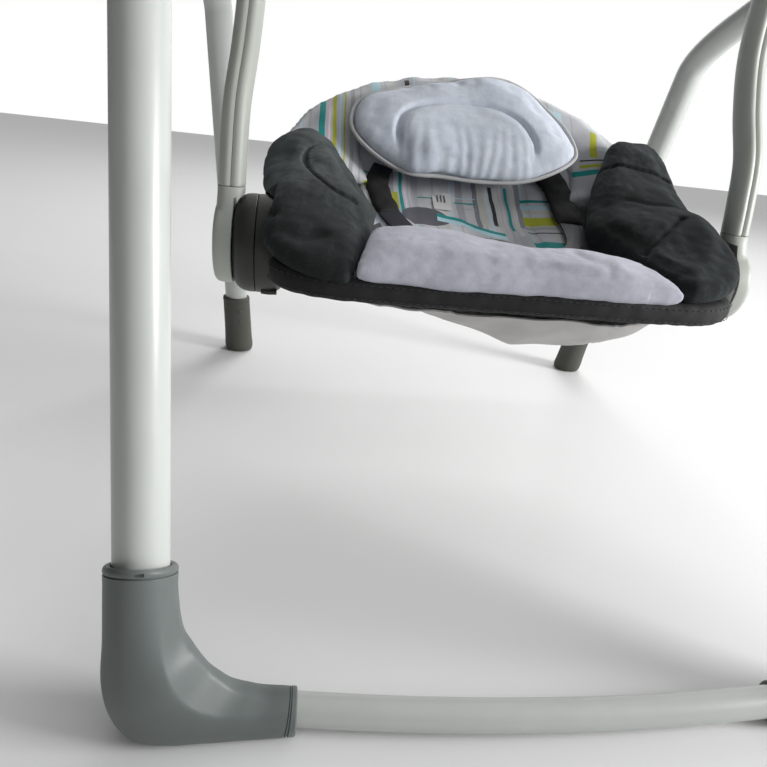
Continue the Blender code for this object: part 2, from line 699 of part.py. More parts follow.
def seat_hub(side):
    end = suffix(side)
    seat_face, seat_split, arm_split, arm_face, boss_face = HUB_FACES_X
    boss = disc("arm_knuckle" + end, 0.042, arm_face + GAP, boss_face, "arm_plastic", side,
                HUB_Y, HUB_Z, edge=0.006)
    rings = []
    for z, grow in ((0.296, 1.12), (0.314, 1.05), (ARM_JOINT_Z - GAP, 1.0)):
        centre = (side * ARM_PATH[1][0], ARM_PATH[1][1] + 0.0005 - 0.3 * (ARM_JOINT_Z - z), z)
        rings.append(oval(centre, (ARM_HALF_X, 0, 0), (0, ARM_HALF_Y * grow, 0), 16, 2.3))
    stub = loft("knuckle_stub" + end, rings, None, CUTTERS)
    boolean(boss, stub, "UNION")
    room = disc("hub_room" + end, HUB_R + GAP, 0.200, arm_face + GAP, None, side, HUB_Y, HUB_Z,
                collection=CUTTERS)
    boolean(boss, room)
    pin_bore = disc("hub_pin_bore" + end, HUB_PIN_R + GAP, 0.215, 0.2868, None, side, HUB_Y,
                    HUB_Z, steps=SMALL, collection=CUTTERS)
    boolean(boss, pin_bore)
    disc("hub_outer" + end, HUB_R, arm_split, arm_face, "hub_plastic", side, HUB_Y, HUB_Z,
         hole=HUB_PIN_R + GAP, edge=HUB_EDGE)
    disc("hub_inner" + end, HUB_R, -seat_split, -seat_face, "hub_plastic", -side, HUB_Y, HUB_Z,
         hole=HUB_PIN_R + GAP, edge=HUB_EDGE)
    disc("hub_pin" + end, HUB_PIN_R, 0.2210, 0.2864, "steel", side, HUB_Y, HUB_Z, steps=SMALL)


# ---------------------------------------------------------------- seat
def hoop_line(steps=2):
    right = HOOP_HALF
    left = [(-x, y, z) for x, y, z in reversed(HOOP_HALF[1:-1])]
    return smooth_line(right + left, steps, cyclic=True)


def half_hoop(y_from, y_to, steps=2):
    """The part of the rim line with y between the two values, as one open line."""
    line = hoop_line(steps)
    inside = [y_from < point.y < y_to for point in line]
    first = next(i for i in range(len(line)) if inside[i] and not inside[i - 1])
    part = []
    for i in range(len(line)):
        index = (first + i) % len(line)
        if not inside[index]:
            break
        part.append(line[index])
    return part


def hoop_and_edges():
    poly_tube("seat_hoop", hoop_line(), HOOP_R, "steel", cyclic=True)
    band_wall = BAND_R - HOOP_R - BAND_GAP
    poly_tube("edge_band", half_hoop(-0.2, BAND_END_Y), BAND_R, "black_binding",
              wall=band_wall)
    hoop_room = poly_tube("hoop_room", hoop_line(), HOOP_R + GAP, cyclic=True,
                          collection=CUTTERS)
    for side in (-1, 1):
        x0, x1 = sorted((side * 0.1960, side * (HUB_FACES_X[0] - GAP)))
        bracket = block("hoop_bracket" + suffix(side), (x0, HUB_Y - 0.030, HUB_Z - 0.014),
                        (x1, HUB_Y + 0.030, HUB_Z + 0.018), "hub_plastic", bevel=0.003)
        boolean(bracket, hoop_room)


def sling():
    rows = []
    for index, (rim, keel) in enumerate(SLING_ROWS):
        taut = min(1.0, max(0.0, (SLING_TAUT_ROWS - index) / 3))
        row = []
        for step in range(-6, 7):
            share = abs(step) / 6
            side = -1 if step < 0 else 1
            across, rise = share ** 0.85, share ** 3.2
            if side < 0:
                across = taut * share + (1 - taut) * across
                rise = taut * (1 - (1 - share) ** 1.15) + (1 - taut) * rise
            row.append((keel[0] + (side * rim[0] - keel[0]) * across,
                        keel[1] + (rim[1] - keel[1]) * rise,
                        keel[2] + (rim[2] - keel[2]) * rise))
        rows.append(row)
    sheet("seat_sling", rows, SLING_T, "sling_fabric", offset=1.0)


def pad():
    rows = []
    for half, y, z in PAD_ROWS:
        row = []
        for step in range(-4, 5):
            u = step / 4
            row.append((half * u, y - 0.003 * u * u, z + 0.006 * u * u))
        rows.append(row)
    sheet("seat_pad", rows, PAD_T, "print_fabric")


def plush_rows():
    rim_room = poly_tube("rim_room", hoop_line(), BAND_R + GAP, cyclic=True,
                         collection=CUTTERS)
    for side in (-1, 1):
        rings = []
        rows = BOLSTER_ROWS + BOLSTER_TOPS[side]
        for index, (outer, inner, half_t) in enumerate(rows):
            outer, inner = Vector(outer), Vector(inner)
            outer.x *= side
            inner.x *= side
            before = rows[max(index - 1, 0)]
            after = rows[min(index + 1, len(rows) - 1)]
            along = sum((Vector(a) - Vector(b) for a, b in zip(after[:2], before[:2])), Vector())
            along.x *= side
            across = (inner - outer) / 2
            up = along.cross(across).normalized() * half_t
            if up.z < 0:
                up = -up
            rings.append(oval((outer + inner) / 2, across, up, 14, 2.3))
        bolster = loft("bolster" + suffix(side), rings, "charcoal_plush", smooth_angle=80)
        boolean(bolster, rim_room)
        face = HUB_FACES_X[0]
        hub_room = disc("bolster_hub_room" + suffix(side), HUB_R + 0.002, face - 0.0005, 0.300,
                        None, side, HUB_Y, HUB_Z, collection=CUTTERS)
        boolean(bolster, hub_room)
        x0, x1 = sorted((side * 0.1950, side * (face + 0.001)))
        bracket_room = block("bolster_bracket_room" + suffix(side),
                             (x0, HUB_Y - 0.0305, HUB_Z - 0.030),
                             (x1, HUB_Y + 0.0305, HUB_Z + 0.0185), collection=CUTTERS)
        boolean(bolster, bracket_room)

    rings = []
    for step in range(-5, 6):
        u = step / 5
        x = (ROLL_FRONT_X + ROLL_BACK_X) / 2 * u
        narrowing = (ROLL_BACK_X - ROLL_FRONT_X) / 2 * u
        centre = (x, ROLL_Y - 0.004 * (1 - u * u), ROLL_Z)
        rings.append(oval(centre, (narrowing, ROLL_HALF_Y, 0.003), (0, 0, ROLL_HALF_Z), 14, 2.3))
    roll = loft("front_roll", rings, "lavender_plush", smooth_angle=80)
    boolean(roll, rim_room)


def pillow():
    half_x, half_along, half_t = PILLOW_HALF
    along = Vector((0.0, math.cos(BACK_ANGLE), math.sin(BACK_ANGLE)))
    normal = Vector((0.0, -math.sin(BACK_ANGLE), math.cos(BACK_ANGLE)))
    centre = Vector((0.0, PILLOW_Y, PILLOW_Z))
    rings = []
    for lift, grow in ((-1.0, 0.55), (-0.72, 0.86), (0.0, 1.0), (0.72, 0.86), (1.0, 0.55)):
        middle = centre + normal * half_t * lift
        rings.append(oval(middle, (half_x * grow, 0, 0), along * half_along * grow, 24, 2.5))
    loft("head_pillow", rings, "lavender_plush", smooth_angle=80)


# ---------------------------------------------------------------- harness
def ribbon(name, line, half_width, thickness, look, width_vector=(1, 0, 0)):
    """A flat strap along a line, width_vector across it; the line is its underside's middle."""
    rows = []
    across = Vector(width_vector).normalized() * half_width
    for point in line:
        rows.append([Vector(point) - across, Vector(point) + across])
    return sheet(name, rows, thickness, look, offset=1.0)


def pad_surface(rows_from, rows_to, lift, x):
    """Points lift above the pad's upper surface at x, between two of its rows."""
    points = []
    for index in range(rows_from, rows_to + 1):
        half, y, z = PAD_ROWS[index]
        u = x / half
        before, after = PAD_ROWS[max(index - 1, 0)], PAD_ROWS[min(index + 1, len(PAD_ROWS) - 1)]
        slope = Vector((0.0, after[1] - before[1], after[2] - before[2])).normalized()
        normal = Vector((0.0, -slope.z, slope.y))
        point = Vector((x, y - 0.003 * u * u, z + 0.006 * u * u)) + normal * lift
        points.append(point)
    return smooth_line(points, 3)


def harness():
    for side in (-1, 1):
        end = suffix(side)
        line = pad_surface(3, 7, 0.0030, side * STRAP_X)
        ribbon("shoulder_strap" + end, line, STRAP_HALF_W, STRAP_T, "webbing")
    crotch = [(0.0, BUCKLE_Y - BUCKLE_HALF[1] - 0.0022, BUCKLE_Z - 0.002),
              (0.0, BUCKLE_Y - 0.0285, 0.2740), (0.0, BUCKLE_Y - 0.0350, 0.2680)]
    ribbon("crotch_strap", crotch, STRAP_HALF_W, STRAP_T, "webbing")
    bx, by, bz = BUCKLE_HALF
    buckle = block("buckle_body", (-bx, BUCKLE_Y - by, BUCKLE_Z - bz),
                   (bx, BUCKLE_Y + by, BUCKLE_Z + bz), "webbing", bevel=0.003)
    points = [(0.0, BUCKLE_Y, BUCKLE_Z - 0.0010), (0.0, BUCKLE_Y, BUCKLE_Z + 0.020)]
    well = poly_tube("buckle_well", points, BUCKLE_BUTTON_R + GAP, collection=CUTTERS)
    boolean(buckle, well)
    points = [(0.0, BUCKLE_Y, BUCKLE_Z + 0.0018), (0.0, BUCKLE_Y, BUCKLE_Z + bz + 0.0015)]
    poly_tube("buckle_button", points, BUCKLE_BUTTON_R, "button_plastic")


def main():
    clear_scene()
    leg_bores = [side_frame(side) for side in (-1, 1)]
    floor_bar()
    rear_brace(leg_bores)
    for side in (-1, 1):
        inner, outer = housing(side)
        fold_knuckle(side)
        arm(side)
        seat_hub(side)
        if side > 0:
            drive_side(inner, outer)
    hoop_and_edges()
    sling()
    pad()
    plush_rows()
    pillow()
    harness()


main()
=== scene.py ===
"""Visual model of a freestanding infant swing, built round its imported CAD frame.

Everything is in metres in the row frame: +Z up, the foot end faces -Y, "left" is -X.
A side is -1 or +1 and multiplies every X.  Rigid pieces repeat the CAD part's dimensions
with finer meshes; soft pieces are inflated forms with their seams pressed in afterwards.
"""

import json
import math

import bmesh
import bpy
import numpy as np
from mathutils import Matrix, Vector, noise


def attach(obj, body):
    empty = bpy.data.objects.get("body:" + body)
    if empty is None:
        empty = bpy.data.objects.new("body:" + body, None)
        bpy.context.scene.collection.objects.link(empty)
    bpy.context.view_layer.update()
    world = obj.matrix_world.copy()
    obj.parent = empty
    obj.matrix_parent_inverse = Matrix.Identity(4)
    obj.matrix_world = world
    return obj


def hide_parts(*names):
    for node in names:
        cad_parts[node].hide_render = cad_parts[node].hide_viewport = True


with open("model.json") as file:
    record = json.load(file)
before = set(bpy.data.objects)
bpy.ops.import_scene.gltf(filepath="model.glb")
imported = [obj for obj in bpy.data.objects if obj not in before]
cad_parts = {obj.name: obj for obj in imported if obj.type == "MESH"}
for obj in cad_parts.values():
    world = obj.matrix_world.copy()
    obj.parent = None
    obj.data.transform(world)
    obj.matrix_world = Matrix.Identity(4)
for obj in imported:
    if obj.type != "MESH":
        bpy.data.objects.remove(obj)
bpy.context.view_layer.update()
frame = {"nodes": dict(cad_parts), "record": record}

BODY_OF = {node: body for body, nodes in frame["record"]["behaviour"]["bodies"].items()
           for node in nodes}
SIDES = (-1, 1)
WELD = 0.00001           # points closer than this become one
SOFT = 180               # degrees: no edge of a sewn piece is shaded as a sharp one
COVER_PRESSURE, COVER_BENDING, SWELL_FRAMES = 3.0, 0.6, 20

# ---------------------------------------------------------------- dimensions, as in the CAD part
FRONT_R, REAR_R = 0.0178, 0.0173
FRONT_SPREAD, REAR_SPREAD = 0.0345, 0.0398
FRONT_FOOT, FRONT_LEAN = (0.2912, -0.358, 0.090), 0.3335
REAR_FOOT, REAR_LEAN = (0.309, 0.345, 0.111), -0.236
BEND_Z = 0.500
FRONT_END = (-0.019, 0.668)
BAR_R, BAR_Z, BAR_Y, BAR_BOW, BAR_END_X = 0.0118, 0.0160, -0.363, 0.0115, 0.215
ELBOW_TOP_Z, ELBOW_END_X = 0.127, 0.187
FOOT_TOP_Z = 0.100
BRACE_Z, BRACE_R = 0.200, 0.011
PIVOT_Y, PIVOT_Z = 0.0305, 0.680
POD_Y, POD_RY, POD_RZ = 0.021, 0.095, 0.068
POD_IN_X, POD_MID_X, POD_OUT_X = 0.285, 0.3085, 0.332
KNUCKLE_R, KNUCKLE_OUT_X, KNUCKLE_LEG_X = 0.048, 0.3700, 0.3510
DOOR_Y0, DOOR_Y1, DOOR_HALF_X = -0.006, 0.062, 0.0165
CONTROL_ANGLES = {"power_button": 42.0, "speed_button": 66.0}
CONTROL_ARC_R, CONTROL_R = 0.062, 0.0055
ARM_HALF_X, ARM_HALF_Y, ARM_JOINT_Z = 0.0135, 0.014, 0.3258
ARM_PATH = [(0.2750, -0.0280, 0.290), (0.2750, -0.0200, 0.324), (0.2742, -0.0150, 0.355),
            (0.2722, -0.0060, 0.401), (0.2670, 0.0130, 0.450), (0.2630, 0.0280, 0.503),
            (0.2621, 0.0325, 0.560), (0.2620, 0.0315, 0.620), (0.2620, 0.0305, 0.680)]
HUB_Y, HUB_Z, HUB_R = -0.017, 0.269, 0.050
HUB_FACES_X = (0.219, 0.2477, 0.2483, 0.2712, 0.290)
HOOP_R, BAND_R, BAND_END_Y = 0.006, 0.0115, -0.090
HOOP_HALF = [(0.000, -0.139, 0.262), (0.070, -0.139, 0.262), (0.130, -0.138, 0.262),
             (0.182, -0.133, 0.262), (0.213, -0.117, 0.263), (0.222, -0.096, 0.264),
             (0.211, -0.074, 0.265), (0.206, -0.056, 0.266), (0.206, -0.017, 0.270),
             (0.213, 0.032, 0.284), (0.226, 0.082, 0.308), (0.230, 0.112, 0.331),
             (0.221, 0.149, 0.366), (0.194, 0.179, 0.396), (0.140, 0.208, 0.425),
             (0.070, 0.226, 0.443), (0.000, 0.232, 0.449)]
SLING_ROWS = [((0.128, -0.121, 0.2425), (0.030, -0.121, 0.2400)),
              ((0.170, -0.095, 0.2450), (0.030, -0.096, 0.2140)),
              ((0.185, -0.057, 0.2500), (0.030, -0.056, 0.1930)),
              ((0.190, -0.017, 0.2540), (0.030, -0.013, 0.1830)),
              ((0.196, 0.031, 0.2670), (0.025, 0.037, 0.1820)),
              ((0.208, 0.084, 0.2900), (0.015, 0.092, 0.2010)),
              ((0.212, 0.116, 0.3120), (0.005, 0.142, 0.2450)),
              ((0.202, 0.156, 0.3460), (0.000, 0.187, 0.3100)),
              ((0.178, 0.186, 0.3770), (0.000, 0.214, 0.3680)),
              ((0.128, 0.213, 0.4060), (0.000, 0.226, 0.4060))]
SLING_TAUT_ROWS = 6
PAD_ROWS = [(0.104, -0.096, 0.2610), (0.112, -0.058, 0.2620), (0.118, -0.013, 0.2690),
            (0.120, 0.028, 0.2810), (0.122, 0.072, 0.2960), (0.126, 0.111, 0.3160),
            (0.138, 0.143, 0.3420), (0.152, 0.169, 0.3720), (0.150, 0.192, 0.4020),
            (0.122, 0.204, 0.4150)]
BOLSTER_ROWS = [((0.160, -0.152, 0.280), (0.137, -0.059, 0.291), 0.015),
                ((0.186, -0.147, 0.281), (0.134, -0.043, 0.291), 0.017),
                ((0.216, -0.131, 0.285), (0.131, -0.018, 0.295), 0.019),
                ((0.239, -0.096, 0.298), (0.126, 0.000, 0.300), 0.021),
                ((0.241, -0.044, 0.318), (0.124, 0.014, 0.305), 0.021)]
BOLSTER_TOPS = {-1: [((0.249, 0.028, 0.328), (0.134, 0.040, 0.316), 0.021),
                     ((0.2535, 0.075, 0.337), (0.147, 0.073, 0.334), 0.020),
                     ((0.2530, 0.105, 0.352), (0.162, 0.100, 0.353), 0.017),
                     ((0.241, 0.127, 0.366), (0.178, 0.121, 0.369), 0.013),
                     ((0.222, 0.139, 0.377), (0.194, 0.136, 0.378), 0.008)],
                1: [((0.248, 0.028, 0.326), (0.130, 0.040, 0.317), 0.022),
                    ((0.2535, 0.077, 0.342), (0.140, 0.075, 0.337), 0.022),
                    ((0.2540, 0.107, 0.361), (0.155, 0.104, 0.358), 0.020),
                    ((0.250, 0.132, 0.382), (0.170, 0.129, 0.382), 0.017),
                    ((0.234, 0.153, 0.399), (0.185, 0.149, 0.399), 0.012)]}
ROLL_FRONT_X, ROLL_BACK_X = 0.156, 0.131
BACK_FOOT = (0, 0.002, 0.215)
BACK = np.array([0.0, math.cos(math.radians(45)), math.sin(math.radians(45))])
OUT_OF_BACK = np.array([0.0, -BACK[2], BACK[1]])
BUCKLE_Y, BUCKLE_Z = -0.019, 0.2865
GAP = 0.0003

# ---------------------------------------------------------------- seams and covers, only here
TONGUE_MIDDLE, TONGUE_SIZE, TONGUE_SWELL = np.array([0.182, 0.045, 0.350]), (0.020, 0.034, 0.05), 0.0035
OUTER_LIFT, SECTION_POWER = {-1: -0.008, 1: 0.007}, {-1: 2.4, 1: 3.0}
TONGUES = {              # sewn outline of the tongue, then (line, depth, width) of each crease
    -1: ([(-0.170, 0.096, 0.366), (-0.186, 0.092, 0.364), (-0.199, 0.082, 0.360),
          (-0.205, 0.065, 0.353), (-0.204, 0.040, 0.345), (-0.197, 0.008, 0.338),
          (-0.184, -0.014, 0.331), (-0.167, -0.023, 0.324), (-0.153, -0.022, 0.319)],
         [([(-0.235, -0.020, 0.326), (-0.237, -0.040, 0.318), (-0.236, -0.057, 0.311),
            (-0.230, -0.074, 0.308)], 0.0055, 0.0045),
          ([(-0.222, -0.100, 0.300), (-0.205, -0.112, 0.303), (-0.185, -0.110, 0.305)],
           0.0022, 0.007)]),
    1: ([(0.150, 0.108, 0.368), (0.172, 0.104, 0.371), (0.200, 0.095, 0.374),
         (0.228, 0.088, 0.372), (0.250, 0.080, 0.360)],
        [([(0.150, -0.070, 0.303), (0.161, -0.062, 0.309), (0.181, -0.047, 0.321),
           (0.205, -0.025, 0.330)], 0.0034, 0.0042),
         ([(0.165, 0.030, 0.345), (0.185, 0.020, 0.348), (0.210, 0.015, 0.350)], 0.0018, 0.005)]),
}


# ---------------------------------------------------------------- lines and meshes
def smooth_line(points, steps, cyclic=False):
    """Rows of numbers along a smooth curve (Catmull-Rom) through the given rows."""
    knots = np.array(points, float)
    if cyclic:
        knots = np.vstack([knots[-1], knots, knots[:2]])
    else:
        knots = np.vstack([2 * knots[0] - knots[1], knots, 2 * knots[-1] - knots[-2]])
    line = []
    for i in range(1, len(knots) - 2):
        p0, p1, p2, p3 = knots[i - 1:i + 3]
        for t in np.arange(steps) / steps:
            line.append(0.5 * (2 * p1 + (p2 - p0) * t + (2 * p0 - 5 * p1 + 4 * p2 - p3) * t * t
                               + (3 * p1 - p0 - 3 * p2 + p3) * t**3))
    if not cyclic:
        line.append(knots[-2])
    return np.array(line)


def even(line, step):
    """The same line with its points about one step apart."""
    line = np.array(line, float)
    run = np.concatenate([[0], np.cumsum(np.linalg.norm(np.diff(line[:, :3], axis=0), axis=1))])
    wanted = np.linspace(0, run[-1], max(2, int(run[-1] / step) + 1))
    return np.column_stack([np.interp(wanted, run, column) for column in line.T])


def bend(start, heading, end, arrival, pull, steps):
    """Points of a cubic curve from start to end, without the start itself."""
    a, d = np.array(start), np.array(end)
    b = a + np.array(heading) / np.linalg.norm(heading) * pull
    c = d - np.array(arrival) / np.linalg.norm(arrival) * pull
    return [a * (1 - t)**3 + b * 3 * (1 - t)**2 * t + c * 3 * (1 - t) * t * t + d * t**3
            for t in np.arange(1, steps + 1) / steps]


def unit(v):
    return v / np.linalg.norm(v)


def across(line, start=(0, 0, 1)):
    """(along, side, up) at each point of a line, turning with it and never twisting."""
    side, rows = np.array(start, float), []
    for along in np.gradient(np.array(line, float), axis=0):
        along = unit(along)
        side = unit(side - along * (side @ along))
        rows.append((along, side, np.cross(along, side)))
    return rows


def add(name, verts, faces, look, sharp=40):
    """A new object, welded and facing outwards; edges over the sharp angle stay sharp."""
    mesh = bpy.data.meshes.new(name)
    mesh.from_pydata([tuple(v) for v in verts], [], faces)
    bm = bmesh.new()
    bm.from_mesh(mesh)
    bmesh.ops.remove_doubles(bm, verts=bm.verts, dist=WELD)
    bmesh.ops.recalc_face_normals(bm, faces=bm.faces)
    bm.to_mesh(mesh)
    bm.free()
    mesh.materials.append(LOOKS[look])
    mesh.shade_smooth()
    mesh.set_sharp_from_angle(angle=math.radians(sharp))
    made = bpy.data.objects.new(name, mesh)
    bpy.context.scene.collection.objects.link(made)
    return made


def loft(name, rings, look, ends=True, cyclic=False, sharp=40):
    """A body through rings of points that all have the same number of points."""
    count, total = len(rings[0]), len(rings)
    faces = []
    for r in range(total if cyclic else total - 1):
        a, b = r * count, ((r + 1) % total) * count
        faces += [(a + i, a + (i + 1) % count, b + (i + 1) % count, b + i) for i in range(count)]
    if ends and not cyclic:
        faces += [tuple(range(count)), tuple((total - 1) * count + i for i in range(count))]
    return add(name, np.vstack(rings), faces, look, sharp)


def ring(centre, u, v, sides=40, power=2.0):
    """An oval round centre with half axes u and v; a power over 2 squares it off."""
    angle = np.linspace(0, 2 * math.pi, sides, endpoint=False)
    c, s = np.cos(angle), np.sin(angle)
    a, b = np.sign(c) * abs(c)**(2 / power), np.sign(s) * abs(s)**(2 / power)
    return np.array(centre) + np.outer(a, u) + np.outer(b, v)


def tube(name, line, radius, look, sides=44, cyclic=False, sharp=40, start=(0, 0, 1)):
    """A round bar along a line; the radius is one value, or one for each point."""
    line = np.array(line, float)
    radii = np.broadcast_to(radius, (len(line),))
    if cyclic:
        rows = across(np.vstack([line[-1], line, line[0]]), start)[1:-1]
    else:
        rows = across(line, start)
    rings = [ring(p, s * r, u * r, sides) for p, r, (_, s, u) in zip(line, radii, rows)]
    return loft(name, rings, look, ends=not cyclic, cyclic=cyclic, sharp=sharp)


def rounded(points, radii, steps=5):
    """A (radius, x) outline with each inner corner rounded by its radius."""
    points = [np.array(p, float) for p in points]
    out = [points[0]]
    for i in range(1, len(points) - 1):
        size = radii[i] if i < len(radii) else 0
        if not size:
            out.append(points[i])
            continue
        before, after = unit(points[i - 1] - points[i]), unit(points[i + 1] - points[i])
        a, b = points[i] + before * size, points[i] + after * size
        for t in np.linspace(0, 1, steps + 1):
            out.append(a * (1 - t)**2 + points[i] * 2 * t * (1 - t) + b * t * t)
    out.append(points[-1])
    return out


def pin(radius, x0, x1):
    """The outline of a plain cylinder, for turned()."""
    return [(0, x0), (radius, x0), (radius, x1), (0, x1)]


def turned(name, profile, look, side, y, z, steps=72, stretch=1.0):
    """(radius, x) points turned round the X axis through y, z; x is on the named side."""
    verts, loops, faces = [], [], []
    angle = np.linspace(0, 2 * math.pi, steps, endpoint=False)
    for radius, x in profile:
        if radius < 1e-6:
            loops.append([len(verts)])
            verts.append((side * x, y, z))
        else:
            loops.append(list(range(len(verts), len(verts) + steps)))
            verts += [(side * x, y + stretch * radius * math.cos(a), z + radius * math.sin(a))
                      for a in angle]
    if len(loops[0]) > 1:
        loops.append(loops[0])
    for a, b in zip(loops, loops[1:]):
        for i in range(steps):
            j = (i + 1) % steps
            face = [a[i % len(a)], a[j % len(a)], b[j % len(b)], b[i % len(b)]]
            face = [v for k, v in enumerate(face) if v != face[k - 1]]
            faces.append(tuple(face))
    return add(name, verts, faces, look, 35)


def modified(obj, kind, sharp=40, **settings):
    """The object with one modifier applied to its mesh."""
    modifier = obj.modifiers.new(kind.lower(), kind)
    for key, value in settings.items():
        setattr(modifier, key, value)
    graph = bpy.context.evaluated_depsgraph_get()
    mesh = bpy.data.meshes.new_from_object(obj.evaluated_get(graph))
    obj.modifiers.clear()
    obj.data = mesh
    mesh.shade_smooth()
    mesh.set_sharp_from_angle(angle=math.radians(sharp))
    return obj


def cut(obj, tool, operation="DIFFERENCE", sharp=35):
    """Cut a tool out of an object, or unite them; the tool is used up."""
    modified(obj, "BOOLEAN", sharp, object=tool, operation=operation, solver="EXACT")
    bpy.data.objects.remove(tool, do_unlink=True)
    return obj


def join(target, *others):
    """Join meshes into target, as one piece."""
    for other in others:
        other.data.materials.clear()
        other.data.materials.append(target.data.materials[0])
    with bpy.context.temp_override(active_object=target, object=target,
                                   selected_objects=[target, *others],
                                   selected_editable_objects=[target, *others]):
        bpy.ops.object.join()
    return target


def stands_for(obj, slot, *nodes, body=None):
    """obj rides on a body and stands for the nodes, which are hidden; slot is not used."""
    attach(obj, body or BODY_OF[nodes[0]])
    if nodes:
        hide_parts(*nodes)
    return obj


def end_of(side):
    return "_left" if side < 0 else "_right"


def mirror(side, line):
    return np.array(line, float) * (side, 1, 1)


# ---------------------------------------------------------------- materials
LOOKS = {}               # every material, by its name


def new_node(tree, kind, inputs=(), **settings):
    """A shader node; each input takes a value or another node's output."""
    made = tree.nodes.new("ShaderNode" + kind)
    for key, value in settings.items():
        setattr(made, key, value)
    for socket, value in dict(inputs).items():
        if isinstance(value, bpy.types.NodeSocket):
            tree.links.new(value, made.inputs[socket])
        else:
            made.inputs[socket].default_value = value
    return made


class Look:
    """A node material, with short calls for the nodes that several looks share."""

    def __init__(self, name, roughness=0.5, metallic=0.0, **sockets):
        material = LOOKS[name] = bpy.data.materials.new(name)
        material.use_nodes = True
        self.tree = material.node_tree
        self.shader = self.tree.nodes["Principled BSDF"]
        sockets |= {"Roughness": roughness, "Metallic": metallic}
        for socket, value in sockets.items():
            self.shader.inputs[socket.replace("_", " ")].default_value = value
        self.where = self.node("TexCoord").outputs["Object"]
        self.height = None

    def node(self, kind, inputs=(), **settings):
        return new_node(self.tree, kind, inputs, **settings)

    def math(self, operation, *values):
        return self.node("Math", dict(enumerate(values)), operation=operation).outputs[0]

    def stretched(self, scale):
        return self.node("Mapping", {"Vector": self.where, "Scale": scale}).outputs[0]

    def noise(self, scale, detail=2.0, where=None, rough=0.5):
        return self.node("TexNoise", {"Vector": where or self.where, "Scale": scale,
                                      "Detail": detail, "Roughness": rough}).outputs[0]

    def ramp(self, value, stops):
        made = self.node("ValToRGB", {0: value})
        ramp = made.color_ramp
        while len(ramp.elements) < len(stops):
            ramp.elements.new(0.5)
        for element, (place, colour) in zip(ramp.elements, stops):
            element.position, element.color = place, (*colour, 1.0)
        return made.outputs[0]

    def mix(self, factor, a, b):
        a, b = (v if isinstance(v, bpy.types.NodeSocket) else (*v, 1.0) for v in (a, b))
        return self.node("Mix", {0: factor, 6: a, 7: b}, data_type="RGBA").outputs[2]

    def colour(self, value):
        self.tree.links.new(value, self.shader.inputs["Base Color"])

    def rough(self, value, low, high):
        made = self.node("MapRange", {"Value": value, "To Min": low, "To Max": high})
        self.tree.links.new(made.outputs[0], self.shader.inputs["Roughness"])

    def bump(self, height, strength, distance):
        inputs = {"Height": height, "Strength": strength, "Distance": distance}
        if self.height:
            inputs["Normal"] = self.height
        self.height = self.node("Bump", inputs).outputs[0]
        self.tree.links.new(self.height, self.shader.inputs["Normal"])


def moulded(name, dark, light, grain=1400, depth=0.00012, rough=(0.36, 0.5), **sockets):
    """Moulded or painted surfaces: a drifting tone, fine grain and faint handling marks."""
    look = Look(name, **sockets)
    drift = look.noise(9, 3)
    scuffs = look.noise(60, 4, look.stretched((1, 1, 0.25)))
    tone = look.mix(drift, dark, light)
    worn = look.math("MULTIPLY", look.math("SMOOTH_MIN", scuffs, drift, 0.1), 0.35)
    look.colour(look.mix(worn, tone, tuple(min(1, c * 1.25 + 0.01) for c in light)))
    look.rough(scuffs, *rough)
    look.bump(look.noise(grain, 2), 0.35, depth)
    look.bump(look.noise(70, 2), 0.12, 0.0006)


def plush(name, dark, light, sheen, tint, streak=(1, 1, 1), painted_light_span=None):
    """Short pile: brushed patches that read lighter or darker, fibres and a soft sheen."""
    look = Look(name, roughness=0.95, Sheen_Weight=sheen, Sheen_Roughness=0.45,
                Sheen_Tint=(*tint, 1.0), Specular_IOR_Level=0.15)
    patches = look.noise(13, 3, look.stretched((1.0, 0.6, 1.0)), 0.6)
    brushed = look.noise(95, 4, look.stretched(streak), 0.65)
    fibres = look.noise(1500, 2)
    tone = look.math("ADD", look.math("MULTIPLY", patches, 0.55),
                     look.math("MULTIPLY", brushed, 0.45))
    if painted_light_span:        # painted light and shade on the cushions: darker towards the foot end and on the right, lighter towards the back and on the left
        parts = look.node("SeparateXYZ", {0: look.where}).outputs
        run = look.math("MULTIPLY_ADD", parts[0], -0.5, parts[1])
        painted_light = look.node("MapRange", {"Value": run, "From Min": painted_light_span[0], "From Max": painted_light_span[1],
                                     "To Min": -0.14, "To Max": 0.10}).outputs[0]
        tone = look.math("ADD", tone, painted_light)
    base = look.ramp(tone, [(0.36, dark), (0.62, light)])
    tips = tuple(min(1.0, c * 1.35 + 0.01) for c in light)
    look.colour(look.mix(look.math("MULTIPLY", fibres, 0.45), base, tips))
    look.bump(fibres, 0.55, 0.0006)
    look.bump(brushed, 0.35, 0.0015)


def woven(name, dark, light, threads, rough=0.8):
    """Plain weave: two sets of threads, crossing along the row frame's axes."""
    look = Look(name, roughness=rough)
    mapping = look.node("Mapping", {"Vector": look.where, "Rotation": (math.radians(45), 0, 0)})
    parts = look.node("SeparateXYZ", {0: mapping.outputs[0]}).outputs
    warp = look.math("SINE", look.math("MULTIPLY", parts[0], threads * 2))
    weft = look.math("SINE", look.math("MULTIPLY", parts[1], threads * 2))
    weave = look.math("MULTIPLY", warp, weft)
    tone = look.math("MULTIPLY_ADD", weave, 0.22, look.noise(30, 4))
    look.colour(look.ramp(tone, [(0.2, dark), (0.8, light)]))
    look.bump(weave, 0.5, 0.0002)
    look.bump(look.noise(45, 3), 0.2, 0.0012)


